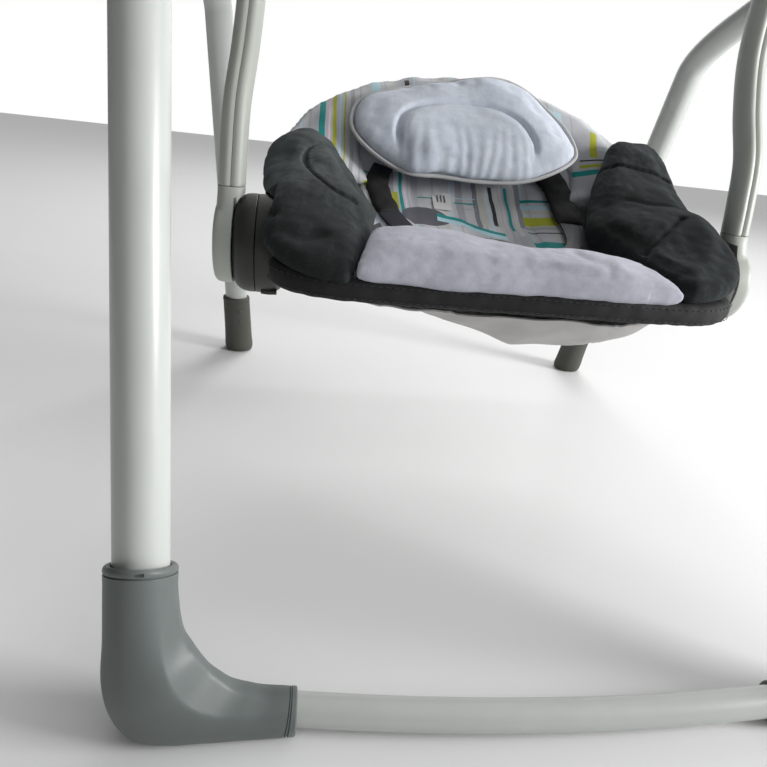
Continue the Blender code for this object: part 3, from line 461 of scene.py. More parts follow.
TEAL, LIME, INK = (0.0, 0.26, 0.25), (0.42, 0.44, 0.02), (0.012, 0.012, 0.018)
GREY, PALE_BLUE, PALE_PINK = (0.36, 0.37, 0.38), (0.45, 0.66, 0.74), (0.72, 0.55, 0.66)
# the last colour on the next line, placed and sized by the line after, is painted shade: a dark oval on the
# pad just below the pillow, not print
SAND, MID, PAINTED_SHADE = (0.50, 0.50, 0.46), (0.20, 0.20, 0.23), (0.085, 0.085, 0.105)
PAINTED_SHADE_X, PAINTED_SHADE_RUN, PAINTED_SHADE_HALF_X, PAINTED_SHADE_HALF_RUN = -0.058, 0.262, 0.030, 0.017
STRIPES = ((0.031, 0.040, GREY), (0.047, 0.030, PALE_BLUE), (0.067, 0.05, SAND))  # pitch, width, colour
WAVY_BANDS = ((0.2470, 0.0040, PALE_BLUE), (0.2535, 0.0030, TEAL))      # place, half width, colour
PRINT_THREADS = 5200
PRINT_PATCHES = [            # centre x, half width, centre along the back, half length, colour
    (-0.012, 0.0045, 0.310, 0.060, (0.36, 0.36, 0.40)), (0.008, 0.0030, 0.310, 0.060, MID),
    (0.064, 0.0040, 0.310, 0.050, (0.27, 0.27, 0.31)), (-0.070, 0.0040, 0.310, 0.050, (0.44, 0.44, 0.49)),
    (-0.108, 0.013, 0.318, 0.024, (0.33, 0.33, 0.36)), (0.016, 0.004, 0.300, 0.045, SAND),
    (-0.0865, 0.0022, 0.300, 0.055, TEAL), (-0.094, 0.0035, 0.287, 0.016, LIME),
    (-0.0815, 0.0008, 0.295, 0.055, PALE_PINK), (-0.056, 0.010, 0.3000, 0.0010, TEAL),
    (-0.005, 0.0135, 0.2970, 0.0014, TEAL), (-0.005, 0.0135, 0.3060, 0.0006, PALE_BLUE),
    (-0.005, 0.0135, 0.2860, 0.0005, GREY), (0.0295, 0.0026, 0.293, 0.036, INK),
    (0.040, 0.0010, 0.300, 0.060, SAND), (0.0495, 0.0020, 0.290, 0.040, TEAL),
    (0.0425, 0.0006, 0.290, 0.050, PALE_PINK), (0.058, 0.0030, 0.290, 0.050, (0.62, 0.62, 0.60)),
    (0.088, 0.020, 0.3110, 0.0022, TEAL), (0.088, 0.021, 0.3000, 0.0040, PALE_BLUE),
    (0.088, 0.021, 0.2900, 0.0020, SAND), (0.088, 0.021, 0.2730, 0.0075, LIME),
    (0.088, 0.021, 0.2600, 0.0030, GREY), (0.088, 0.021, 0.2500, 0.0010, INK),
    (0.090, 0.022, 0.2200, 0.0090, TEAL),
    (-0.1870, 0.0036, 0.400, 0.060, TEAL), (-0.1720, 0.0022, 0.395, 0.080, LIME),
    (-0.1650, 0.0010, 0.380, 0.080, PALE_BLUE), (-0.1590, 0.0010, 0.380, 0.080, LIME),
    (-0.1780, 0.0012, 0.380, 0.080, PALE_PINK), (-0.1500, 0.0025, 0.380, 0.080, GREY),
    (-0.1330, 0.0015, 0.325, 0.0012, TEAL), (-0.1270, 0.0060, 0.3060, 0.0030, LIME),
    (-0.1250, 0.0100, 0.3300, 0.0014, TEAL),
    (0.168, 0.0050, 0.395, 0.018, LIME), (0.180, 0.030, 0.3730, 0.0010, INK),
    (0.180, 0.030, 0.3650, 0.0022, LIME), (0.170, 0.030, 0.3540, 0.0045, TEAL),
    (0.1850, 0.012, 0.3900, 0.0010, PALE_BLUE), (0.120, 0.006, 0.410, 0.030, PALE_BLUE),
    (0.060, 0.0050, 0.430, 0.040, TEAL), (-0.020, 0.0060, 0.430, 0.040, LIME),
    (-0.080, 0.0030, 0.430, 0.040, INK), (0.0, 0.0020, 0.430, 0.040, GREY),
    (0.100, 0.0020, 0.430, 0.040, PALE_PINK), (-0.120, 0.0050, 0.430, 0.040, PALE_BLUE),
    (-0.060, 0.030, 0.170, 0.0030, LIME), (0.050, 0.030, 0.180, 0.0020, TEAL),
]


def printed(name):
    """White cotton with stripes in blocks, a few lines of outline and a fine weave."""
    look = Look(name, roughness=0.85, Sheen_Weight=0.15)
    wobble = look.math("MULTIPLY_ADD", look.noise(22, 2), 0.006, -0.003)
    parts = look.node("SeparateXYZ", {0: look.where}).outputs
    x = look.math("ADD", parts[0], wobble)
    run = look.math("MULTIPLY", look.math("ADD", parts[1], parts[2]), math.sqrt(0.5))
    run = look.math("ADD", run, wobble)
    cloth = look.ramp(look.noise(14, 3), [(0.3, (0.40, 0.41, 0.45)), (0.7, (0.60, 0.61, 0.63))])
    for pitch, width, tint in STRIPES:
        phase = look.math("FRACT", look.math("DIVIDE", x, pitch))
        line = look.math("COMPARE", phase, 0.5, width)
        cloth = look.mix(look.math("MULTIPLY", line, 0.6), cloth, tint)
    for centre, half, at, reach, tint in PRINT_PATCHES:
        inside = look.math("MULTIPLY", look.math("COMPARE", x, centre, half),
                           look.math("COMPARE", run, at, reach))
        cloth = look.mix(inside, cloth, tint)
    # painted shade: a dark oval on the pad just below the pillow; then two wavy bands of print running down
    # to the right
    squares = [look.math("POWER", look.math("DIVIDE", look.math("SUBTRACT", at, middle), half), 2.0)
               for at, middle, half in ((x, PAINTED_SHADE_X, PAINTED_SHADE_HALF_X), (run, PAINTED_SHADE_RUN, PAINTED_SHADE_HALF_RUN))]
    cloth = look.mix(look.math("LESS_THAN", look.math("ADD", *squares), 1.0), cloth, PAINTED_SHADE)
    swing = look.math("SINE", look.math("MULTIPLY", x, 95.0))
    wave = look.math("MULTIPLY_ADD", swing, 0.0035, look.math("MULTIPLY_ADD", x, 0.42, run))
    along_x = look.math("COMPARE", x, -0.004, 0.040)
    for level, half, tint in WAVY_BANDS:
        band = look.math("MULTIPLY", look.math("COMPARE", wave, level, half), along_x)
        cloth = look.mix(band, cloth, tint)
    look.colour(cloth)
    threads = [look.math("SINE", look.math("MULTIPLY", at, PRINT_THREADS)) for at in (parts[0], run)]
    look.bump(look.math("MULTIPLY", *threads), 0.25, 0.00015)
    look.bump(look.noise(55, 3), 0.25, 0.0015)


def metal(name, colour, roughness, scratch=(1, 1, 60)):
    """Bare metal with fine lines along one axis."""
    look = Look(name, roughness=roughness, metallic=1.0)
    lines = look.noise(160, 3, look.stretched(scratch))
    look.colour(look.mix(lines, tuple(c * 0.8 for c in colour), colour))
    look.rough(lines, roughness - 0.08, roughness + 0.12)
    look.bump(lines, 0.15, 0.0001)


moulded("painted_tube", (0.44, 0.46, 0.44), (0.49, 0.51, 0.49), 700, 0.00006,
        (0.26, 0.36), Coat_Weight=0.15)
moulded("arm_plastic", (0.38, 0.40, 0.36), (0.44, 0.46, 0.42), 1500, 0.0001,
        (0.38, 0.5))
moulded("slate_plastic", (0.085, 0.100, 0.097), (0.120, 0.138, 0.133), 1500,
        0.00012, (0.4, 0.52))
moulded("hub_plastic", (0.017, 0.017, 0.014), (0.028, 0.028, 0.024), 1500,
        0.0001, (0.4, 0.5))
moulded("foot_rubber", (0.045, 0.047, 0.037), (0.070, 0.072, 0.058), 1100,
        0.0002, (0.6, 0.75))
moulded("button_plastic", (0.34, 0.36, 0.36), (0.42, 0.44, 0.44))
moulded("bearing_plastic", (0.62, 0.62, 0.56), (0.72, 0.72, 0.66))
moulded("buckle_plastic", (0.018, 0.018, 0.020), (0.034, 0.034, 0.038))
moulded("board", (0.01, 0.13, 0.06), (0.02, 0.19, 0.09), 600)
moulded("cell", (0.03, 0.03, 0.035), (0.10, 0.09, 0.03), 500, 0.00004, (0.2, 0.3))
metal("steel", (0.55, 0.55, 0.56), 0.32)
metal("copper", (0.62, 0.27, 0.13), 0.35, (200, 1, 1))
# the last pair sets the span of painted light and shade on both cushions: darker towards the foot end and
# the right, lighter towards the back
plush("charcoal_plush", (0.0016, 0.0022, 0.0023), (0.060, 0.068, 0.068), 0.04,
      (0.75, 0.9, 1.0), (1.0, 0.35, 1.0), (-0.02, 0.18))
plush("lavender_plush", (0.34, 0.345, 0.40), (0.50, 0.505, 0.57), 0.15,
      (0.95, 0.95, 1.0))
plush("pillow_plush", (0.46, 0.50, 0.60), (0.66, 0.70, 0.79), 0.15,
      (0.95, 0.97, 1.0))
woven("piping", (0.48, 0.47, 0.48), (0.62, 0.62, 0.62), 1500)
woven("sling_fabric", (0.42, 0.41, 0.40), (0.56, 0.55, 0.54), 1600)
woven("black_binding", (0.003, 0.003, 0.0035), (0.011, 0.011, 0.012), 1300)
woven("webbing", (0.010, 0.010, 0.016), (0.036, 0.036, 0.048), 1000, 0.6)
woven("label", (0.66, 0.66, 0.64), (0.80, 0.80, 0.78), 2600)
woven("label_ink", (0.08, 0.08, 0.09), (0.13, 0.13, 0.14), 2600)
printed("print_fabric")


# ---------------------------------------------------------------- side frames
def front_axis(z):
    rise = z - FRONT_FOOT[2]
    return np.array([FRONT_FOOT[0] + FRONT_SPREAD * rise, FRONT_FOOT[1] + FRONT_LEAN * rise, z])


def rear_axis(z):
    rise = z - REAR_FOOT[2]
    return np.array([REAR_FOOT[0] + REAR_SPREAD * rise, REAR_FOOT[1] + REAR_LEAN * rise, z])


def front_leg_path(side):
    knee = front_axis(BEND_Z)
    points = [front_axis(z) for z in (0.062, 0.2, 0.35)] + [knee]
    points += bend(knee, (FRONT_SPREAD, FRONT_LEAN, 1.0), (POD_MID_X, *FRONT_END), (0.0, 0.93, 0.37),
                   0.115, 26)
    return mirror(side, points)


def rear_leg_path(side):
    knee = rear_axis(BEND_Z)
    near = (KNUCKLE_LEG_X, PIVOT_Y + 0.065, PIVOT_Z - 0.065)
    points = [rear_axis(z) for z in (0.030, 0.15, 0.3)] + [knee]
    points += bend(knee, (REAR_SPREAD, REAR_LEAN, 1.0), near, (0.0, -1.0, 1.0), 0.045, 18)
    points.append((KNUCKLE_LEG_X, PIVOT_Y + 0.030, PIVOT_Z - 0.030))
    return mirror(side, points)


def bar_path(half):
    x = np.linspace(-half, half, 25)
    return np.column_stack([x, BAR_Y - BAR_BOW * (1 - (x / BAR_END_X)**2), 0 * x + BAR_Z])


def elbow(side):
    """The moulded corner: a socket with a rolled rim, the swept corner and the bar's socket."""
    stations = [            # centre, half width, half depth, tilt, slope of the rim, squareness
        (*front_axis(ELBOW_TOP_Z), 0.0226, 0.0226, 0, 0.62, 2.05),
        (*front_axis(0.105), 0.0230, 0.0228, 0, 0.45, 2.1),
        (0.2893, -0.3613, 0.080, 0.0252, 0.0229, 3, 0.20, 2.2),
        (0.2856, -0.3672, 0.0590, 0.0316, 0.0225, 20.4, 0, 2.3),
        (0.2787, -0.3680, 0.0385, 0.0362, 0.0218, 27.1, 0, 2.3),
        (0.2692, -0.3680, 0.0256, 0.0374, 0.0212, 34.6, 0, 2.3),
        (0.2550, -0.3678, 0.0190, 0.0323, 0.0203, 39.4, 0, 2.25),
        (0.2375, -0.3674, 0.0168, 0.0253, 0.0190, 46.2, 0, 2.2),
        (0.2165, -0.3668, 0.0150, 0.0190, 0.0173, 62.0, 0, 2.15),
        (ELBOW_END_X, -0.3660, 0.0141, 0.0156, 0.0156, 90.0, 0, 2.1),
    ]
    dense = even(smooth_line(stations, 24), 0.0004)
    run = np.concatenate([[0], np.cumsum(np.linalg.norm(np.diff(dense[:, :3], axis=0), axis=1))])
    total = run[-1]
    # distance from the top, and how far the skin stands proud there
    rim = [(0, -0.0018), (0.0004, -0.0010), (0.0011, -0.0003), (0.0022, 0.0002), (0.0036, 0.0003),
           (0.0045, 0.0000), (0.0048, -0.0009), (0.0054, -0.0009), (0.0057, 0.0001), (0.0070, 0.0002)]
    tail = [(0.0110, 0.0), (0.0078, 0.0), (0.0075, -0.0007), (0.0070, -0.0007), (0.0067, 0.0001),
            (0.0059, 0.0001), (0.0056, -0.0007), (0.0051, -0.0007), (0.0048, 0.0002),
            (0.0010, 0.0002), (0.0003, -0.0004), (0, -0.0012)]
    plan = rim + [(s, 0.0) for s in np.linspace(0.012, total - 0.013, 60)]
    plan += [(total - s, proud) for s, proud in tail]
    facing = math.radians(206)
    toward = np.array([math.cos(facing), math.sin(facing)])
    rings = []
    for s, proud in plan:
        row = np.array([np.interp(s, run, column) for column in dense.T])
        turn = math.radians(row[5])
        wide = np.array([math.cos(turn), 0, -math.sin(turn)]) * (row[3] + proud)
        deep = np.array([0, 1, -row[6]]) * (row[4] + proud)
        shape = ring((0, 0, 0), (1, 0, 0), (0, 1, 0), 96, row[7])[:, :2]
        # a flat scoop runs round the inside of the bend, between two soft ridges
        share = np.clip((s / total - 0.05) / 0.78, 0, 1)
        limit = 1.0 - 0.100 * math.sin(math.pi * share)**1.2
        over = np.clip(shape @ toward - limit, 0, 1)
        shape = shape - np.outer(over, toward)
        rings.append(row[:3] + np.outer(shape[:, 0], wide) + np.outer(shape[:, 1], deep))
    top = front_axis(ELBOW_TOP_Z)
    slope = np.array([0, 1, -0.62])
    sockets = [ring(top + np.array([0, FRONT_LEAN, 1]) * drop, ((FRONT_R + more), 0, 0),
                    slope * (FRONT_R + more), 96, 2.0)
               for drop, more in ((-0.008, 0.0006), (-0.0005, 0.0008))]
    end = np.array([ELBOW_END_X, BAR_Y - BAR_BOW * (1 - (ELBOW_END_X / BAR_END_X)**2), BAR_Z])
    bar_bore = [ring(end + (push, 0, 0), (0, 0, -BAR_R - 0.0006), (0, BAR_R + 0.0006, 0), 96)
                for push in (0, 0.006)]
    rings = sockets + rings + bar_bore
    for r in rings:
        r[:, 2] = np.maximum(r[:, 2], 0.0)
        r[:, 0] *= side
    made = loft("corner_elbow_skin" + end_of(side), rings, "slate_plastic", sharp=38)
    rim_slot = front_axis(ELBOW_TOP_Z) + (-0.0045, -0.0229, 0.0105)
    slot_line = [rim_slot + (-0.0030, 0.0002, 0), rim_slot, rim_slot + (0.0030, 0.0002, 0)]
    cut(made, tube("slot_tool", mirror(side, slot_line), 0.0011, "slate_plastic", 12), sharp=38)
    return stands_for(made, "slate_plastic", "corner_elbow" + end_of(side))


def rear_foot(side):
    """A soft sleeve with a flared sole and toe, two pins on its inner face and a rolled top."""
    stations = [(FOOT_TOP_Z, 0.93, 0.0), (FOOT_TOP_Z - 0.0012, 1.0, 0.0), (0.094, 1.01, 0.0),
                (0.0925, 0.97, 0.0), (0.0912, 1.0, 0.0), (0.060, 1.02, 0.0), (0.034, 1.04, -0.001),
                (0.020, 1.07, -0.002), (0.012, 1.09, -0.002), (0.006, 1.08, -0.002),
                (0.0015, 1.02, -0.002), (0.0, 0.94, -0.002)]
    rings = [ring(rear_axis(0.094), (REAR_R + 0.0005, 0, 0), (0, REAR_R + 0.0005, 0), 48),
             ring(rear_axis(FOOT_TOP_Z), (REAR_R + 0.0006, 0, 0), (0, REAR_R + 0.0006, 0), 48)]
    for z, scale, toe in smooth_line(stations, 3):
        centre, half = rear_axis(z) + (0, toe, 0), 0.0213 * scale
        rings.append(ring(centre, (half, 0, 0), (0, half, 0), 48, 2.2))
    for r in rings:
        r[:, 2] = np.maximum(r[:, 2], 0.0)
        r[:, 0] *= side
    foot = loft("rear_foot_sleeve" + end_of(side), rings, "foot_rubber", sharp=50)
    pins = []
    for z in (0.079, 0.060):
        at = (rear_axis(z) + (-0.0070, -0.0203, 0)) * (side, 1, 1)
        outward = unit(np.array([-0.35 * side, -1.0, 0.15]))
        line = [at - outward * 0.003, at + outward * 0.0006, at + outward * 0.0012]
        pins.append(tube("pin", line, [0.0030, 0.0030, 0.0018], "foot_rubber", 20))
    return stands_for(join(foot, *pins), "foot_rubber", "rear_foot" + end_of(side))


def side_frame(side):
    end = end_of(side)
    for part, path, radius in (("front_leg", front_leg_path(side), FRONT_R),
                               ("rear_leg", rear_leg_path(side), REAR_R)):
        leg = tube(part + "_tube" + end, path, radius, "painted_tube", 56)
        stands_for(leg, "painted_tube", part + end)
    elbow(side)
    rear_foot(side)


# ---------------------------------------------------------------- top housings
def pod_half(name, face_x, side):
    """One cupped half of a housing, with a recessed field on its face."""
    outward = 1.0 if face_x > POD_MID_X else -1.0
    mouth = POD_MID_X + outward * GAP / 2
    depth = abs(face_x - mouth)
    outline = [(0, depth - 0.0012), (POD_RZ - 0.0165, depth - 0.0012), (POD_RZ - 0.0155, depth),
               (POD_RZ, depth), (POD_RZ, 0), (POD_RZ - 0.003, 0),
               (POD_RZ - 0.003, depth - 0.004), (0, depth - 0.004)]
    outline = rounded(outline, [0, 0.0008, 0.0006, 0.0085, 0.0009, 0, 0.003], 7)
    points = [(radius, mouth + outward * x) for radius, x in outline]
    return turned(name, points, "slate_plastic", side, POD_Y, PIVOT_Z, 96, POD_RY / POD_RZ)


def pod_surface(y, inset):
    share = (y - POD_Y) / (POD_RY - inset)
    return PIVOT_Z + (POD_RZ - inset) * math.sqrt(max(0.0, 1 - share * share))


def door_slab(name, y0, y1, outer, inner, half_x):
    """A strip of the housing's curved top, between two depths under its skin."""
    ys = np.linspace(y0, y1, 17)
    upper = [(y, pod_surface(y, outer)) for y in ys]
    lower = [(y, pod_surface(y, inner)) for y in ys[::-1]]
    rings = [np.array([(x, y, z) for y, z in upper + lower])
             for x in (POD_MID_X - half_x, POD_MID_X + half_x)]
    return loft(name, rings, "slate_plastic", sharp=30)


def screw(name, side, x, y, z, outward):
    """A steel pan head with a cross recess, on a face that looks along X."""
    radius = 0.0032
    profile = rounded([(0, x + outward * 0.0012), (radius * 0.7, x + outward * 0.0011),
                       (radius, x), (radius, x - outward * 0.002), (0, x - outward * 0.002)],
                      [0, 0.0006, 0.0003, 0], 3)
    head = turned(name, profile, "steel", side, y, z, 28)
    middle = side * (x + outward * 0.0024)
    for half_y, half_z in ((0.0004, radius * 0.62), (radius * 0.62, 0.0004)):
        verts = [(middle + dx, y + sy * half_y, z + sz * half_z)
                 for dx in (-0.002, 0.002) for sy, sz in ((-1, -1), (1, -1), (1, 1), (-1, 1))]
        cut(head, add("slot", verts, [(0, 1, 2, 3), (4, 5, 6, 7), (0, 1, 5, 4), (1, 2, 6, 5),
                                      (2, 3, 7, 6), (3, 0, 4, 7)], "steel"))
    return head


def housing(side):
    end = end_of(side)
    inner = pod_half("housing_inner_shell" + end, POD_IN_X, side)
    outer = pod_half("housing_outer_shell" + end, POD_OUT_X, side)
    if side > 0:
        for half in (inner, outer):
            opening = door_slab("opening", DOOR_Y0 - 0.0005, DOOR_Y1 + 0.0005, -0.004, 0.0075,
                                DOOR_HALF_X + 0.0005)
            cut(half, opening)
        for degrees in CONTROL_ANGLES.values():
            y, z = control_place(degrees)
            cut(outer, turned("hole", pin(CONTROL_R + 0.0004, 0.320, 0.340), "slate_plastic",
                              1, y, z, 32))
            inside, outside = CONTROL_R + 0.0005, CONTROL_R + 0.0022
            low, high = POD_OUT_X - 0.0016, POD_OUT_X + 0.0004
            bezel = rounded([(inside, low), (inside, high), (outside, high), (outside, low)],
                            [0, 0.0004, 0.0008], 3)
            join(outer, turned("bezel", bezel, "slate_plastic", 1, y, z, 40))
    path = front_leg_path(side)
    reach = (path[:, 1] > -0.100) & (path[:, 1] < -0.040)
    collar_line = even(path[reach], 0.003)
    radii = np.interp(np.linspace(0, 1, len(collar_line)), [0, 0.05, 0.12, 1],
                      [FRONT_R + 0.0006, FRONT_R + 0.0020, FRONT_R + 0.0030, FRONT_R + 0.0034])
    collar = tube("housing_collar" + end, collar_line, radii, "slate_plastic", 56)
    spigot = turned("housing_spigot" + end, pin(0.012, POD_OUT_X - 0.0015, 0.3520), "slate_plastic",
                    side, PIVOT_Y, PIVOT_Z, 48)
    stands_for(inner, "slate_plastic", "housing_inner" + end)
    stands_for(join(outer, spigot), "slate_plastic", "housing_outer" + end)
    stands_for(collar, "slate_plastic", body="frame")
    spots = [(-0.030, -0.028), (0.070, -0.028), (-0.030, 0.030), (0.072, 0.028)]
    heads = [screw("housing_screws" + end, side, POD_IN_X + 0.0012, y, PIVOT_Z + z, -1)
             for y, z in spots]
    stands_for(join(*heads), "steel", body="frame")


def control_place(degrees):
    turn = math.radians(degrees)
    return PIVOT_Y - CONTROL_ARC_R * math.sin(turn), PIVOT_Z + CONTROL_ARC_R * math.cos(turn)


def fold_knuckle(side):
    end = end_of(side)
    inner_x = POD_OUT_X + GAP
    outline = [(0.0123, inner_x), (KNUCKLE_R, inner_x), (KNUCKLE_R, KNUCKLE_OUT_X),
               (0.0300, KNUCKLE_OUT_X), (0.0290, KNUCKLE_OUT_X - 0.0012),
               (0.0120, KNUCKLE_OUT_X - 0.0012), (0.0103, KNUCKLE_OUT_X - 0.0012), (0.0103, 0.354),
               (0.0123, 0.354)]
    outline = rounded(outline, [0, 0.0012, 0.0085, 0.0006, 0.0006, 0, 0.0006, 0], 7)
    knuckle = turned("fold_knuckle_body" + end, outline, "slate_plastic", side, PIVOT_Y, PIVOT_Z, 80)
    path = rear_leg_path(side)
    sleeve = even(path[-6:], 0.002)
    sleeve = sleeve[sleeve[:, 1] > PIVOT_Y + 0.034]
    sleeve = sleeve[sleeve[:, 2] > PIVOT_Z - 0.083]
    radii = np.interp(np.arange(len(sleeve)), [0, 1, 3, len(sleeve)], [0.0178, 0.0186, 0.0191, 0.0200])
    stem = tube("stem", sleeve, radii, "slate_plastic", 56)
    join(knuckle, stem)
    stands_for(knuckle, "slate_plastic", "fold_knuckle" + end)
    cap = rounded([(0, KNUCKLE_OUT_X + 0.0024), (0.0065, KNUCKLE_OUT_X + 0.0026),
                   (0.0100, KNUCKLE_OUT_X + 0.0032), (0.0100, 0.3565), (0, 0.3565)],
                  [0, 0.001, 0.0016, 0.0005], 5)
    button = turned("fold_button_cap" + end, cap, "button_plastic", side, PIVOT_Y, PIVOT_Z, 48)
    stands_for(button, "button_plastic", "fold_button" + end)


def controls():
    for name, degrees in CONTROL_ANGLES.items():
        y, z = control_place(degrees)
        cap = rounded([(0, POD_OUT_X + 0.0015), (CONTROL_R - 0.0012, POD_OUT_X + 0.0016),
                       (CONTROL_R, POD_OUT_X + 0.0019), (CONTROL_R, 0.3285), (CONTROL_R + 0.001, 0.3285),
                       (CONTROL_R + 0.001, 0.3272), (0, 0.3272)], [0, 0.0005, 0.0008], 4)
        button = turned(name + "_cap", cap, "button_plastic", 1, y, z, 36)
        stands_for(button, "button_plastic", name)
    door = door_slab("battery_door_lid", DOOR_Y0, DOOR_Y1, 0.0, 0.0026, DOOR_HALF_X)
    modified(door, "BEVEL", width=0.0006, segments=3, limit_method="ANGLE")
    ribs = [door_slab("rib", 0.0000 + k * 0.0028, 0.0013 + k * 0.0028, -0.0004, 0.001, 0.0100)
            for k in range(4)]
    stands_for(join(door, *ribs), "slate_plastic", "battery_door")


# ---------------------------------------------------------------- swing arms and hubs
def arm_shell(name, side, inner_half):
    """One D-shaped shell of an arm; its long edges are eased, so the seam shows as a groove."""
    line = smooth_line(ARM_PATH, 8)
    line = line[line[:, 2] > ARM_JOINT_Z + 0.001]
    foot = np.array([ARM_PATH[1][0], ARM_PATH[1][1] + 0.0005, ARM_JOINT_Z])
    rise = np.array([0.003, 0.008, 0.0125, 0.0165, 0.0190, 0.0210])
    tip = np.column_stack([0 * rise + ARM_PATH[-1][0], 0 * rise + PIVOT_Y, PIVOT_Z + rise])
    line = np.vstack([foot, foot + (0, 0, 0.0006), line, tip])
    scales = np.ones(len(line))
    scales[0], scales[-4:] = 0.965, (0.93, 0.80, 0.60, 0.32)
    facing = -side if inner_half else side
    angle = np.radians(np.linspace(-90, 90, 23))
    out_shape = np.clip(np.cos(angle), 0, 1)**0.8
    back_shape = np.sin(angle)
    rings = []
    for centre, (along, _, _), scale in zip(line, across(line, (1, 0, 0)), scales):
        if centre[2] < ARM_JOINT_Z + 0.001:
            along = np.array([0.0, 0.0, 1.0])
        back = unit(np.cross(along, (1.0, 0.0, 0.0)))
        wide = 1.0
        if centre[2] > 0.650:
            wide += 0.22 * math.sin(math.pi * min(1.0, (centre[2] - 0.650) / 0.052))
        half_y = ARM_HALF_Y * scale * wide
        out = GAP / 2 + (ARM_HALF_X * (0.5 + 0.5 * scale) - GAP / 2) * out_shape
        spread = half_y * back_shape
        spread[[0, -1]] *= 1 - 0.0016 / ARM_HALF_Y
        spread[[1, -2]] *= 1 - 0.0003 / ARM_HALF_Y
        middle = centre * (side, 1, 1)
        rings.append(middle + np.outer(facing * out, (1, 0, 0)) + np.outer(spread, back))
    return loft(name, rings, "arm_plastic", sharp=32)


def arm(side):
    end = end_of(side)
    for label, inner_half in (("arm_outer", False), ("arm_inner", True)):
        shell = arm_shell(label + "_shell" + end, side, inner_half)
        stands_for(shell, "arm_plastic", label + end)
    for label, face, outward in (("arm_cap_inner", 0.2478, -1), ("arm_cap_outer", 0.2766, 1)):
        cap = rounded([(0, face), (0.0072, face), (0.0085, face - outward * 0.0012),
                       (0.0085, face - outward * 0.006), (0, face - outward * 0.006)],
                      [0, 0.0006, 0.0005, 0], 4)
        stands_for(turned(label + end, cap, "arm_plastic", side, PIVOT_Y, PIVOT_Z, 40),
                   "arm_plastic", body="swing")


def seat_hub(side):
    end = end_of(side)
    seat_face, seat_split, arm_split, arm_face, boss_face = HUB_FACES_X
    # the arm's foot: a boss with a neck that blends up into the arm
    boss = turned("arm_knuckle_body" + end,
                  rounded(pin(0.042, arm_face + GAP, boss_face), [0, 0.001, 0.0085], 8),
                  "arm_plastic", side, HUB_Y, HUB_Z, 72)
    rings = []
    for z, grow, shift in ((0.282, 1.6, 0.004), (0.296, 1.28, 0.002), (0.308, 1.10, 0.0005),
                           (0.318, 1.01, 0), (ARM_JOINT_Z - 0.0012, 1.0, 0),
                           (ARM_JOINT_Z - 0.0005, 0.965, 0)):
        centre = np.array([ARM_PATH[1][0] + shift * 0.6,
                           ARM_PATH[1][1] + 0.0005 - 0.3 * (ARM_JOINT_Z - z), z])
        rings.append(ring(centre * (side, 1, 1), (ARM_HALF_X, 0, 0), (0, ARM_HALF_Y * grow, 0), 40, 2.3))
    neck = loft("neck", rings, "arm_plastic")
    cut(boss, neck, "UNION")
    room = turned("room", pin(HUB_R + 0.0006, 0.200, arm_face + GAP), "arm_plastic",
                  side, HUB_Y, HUB_Z, 96)
    cut(boss, room, sharp=38)
    stands_for(boss, "arm_plastic", "arm_knuckle" + end)

    hole = 0.0053
    outer = rounded([(hole, arm_split), (HUB_R, arm_split), (HUB_R, arm_face), (hole, arm_face)],
                    [0, 0.0009, 0.0190], 12)
    stands_for(turned("hub_outer_disc" + end, outer, "hub_plastic", side, HUB_Y, HUB_Z, 96),
               "hub_plastic", "hub_outer" + end)
    inner = rounded([(hole, seat_split), (HUB_R, seat_split), (HUB_R, seat_face),
                     (0.030, seat_face), (0.029, seat_face + 0.0010), (hole, seat_face + 0.0010)],
                    [0, 0.0009, 0.0190, 0.0006, 0.0006], 12)
    stands_for(turned("hub_inner_disc" + end, inner, "hub_plastic", side, HUB_Y, HUB_Z, 96),
               "hub_plastic", "hub_inner" + end)
    lever_at = np.array([side * 0.234, HUB_Y - 0.026, HUB_Z - 0.043])
    reach = np.array([side * 0.008, 0, 0])
    tab = tube("recline_tab" + end, [lever_at - reach, lever_at, lever_at + reach],
               [0.0030, 0.0036, 0.0030], "hub_plastic", 24)
    stands_for(tab, "hub_plastic", body="seat")


# ---------------------------------------------------------------- soft pieces
def per_vertex(mesh, what):
    """Three numbers for each vertex of a mesh: its place (co) or its normal."""
    rows = np.zeros(len(mesh.vertices) * 3, np.float32)
    mesh.vertices.foreach_get(what, rows)
    return rows.reshape(-1, 3).astype(float)


def vertices(obj):
    return per_vertex(obj.data, "co")


def normals(obj):
    return per_vertex(obj.data, "normal")


def place(obj, points):
    obj.data.vertices.foreach_set("co", np.asarray(points, np.float32).ravel())
    obj.data.update()


def lift_by(obj, lift):
    """Move each vertex along its normal by its own lift."""
    place(obj, vertices(obj) + normals(obj) * lift[:, None])


def remesh(obj, voxel):
    return modified(obj, "REMESH", SOFT, mode="VOXEL", voxel_size=voxel, use_smooth_shade=True)


def relax(obj, repeat):
    return modified(obj, "SMOOTH", SOFT, factor=0.5, iterations=repeat)


def finer(obj):
    return modified(obj, "SUBSURF", SOFT, levels=1, render_levels=1)


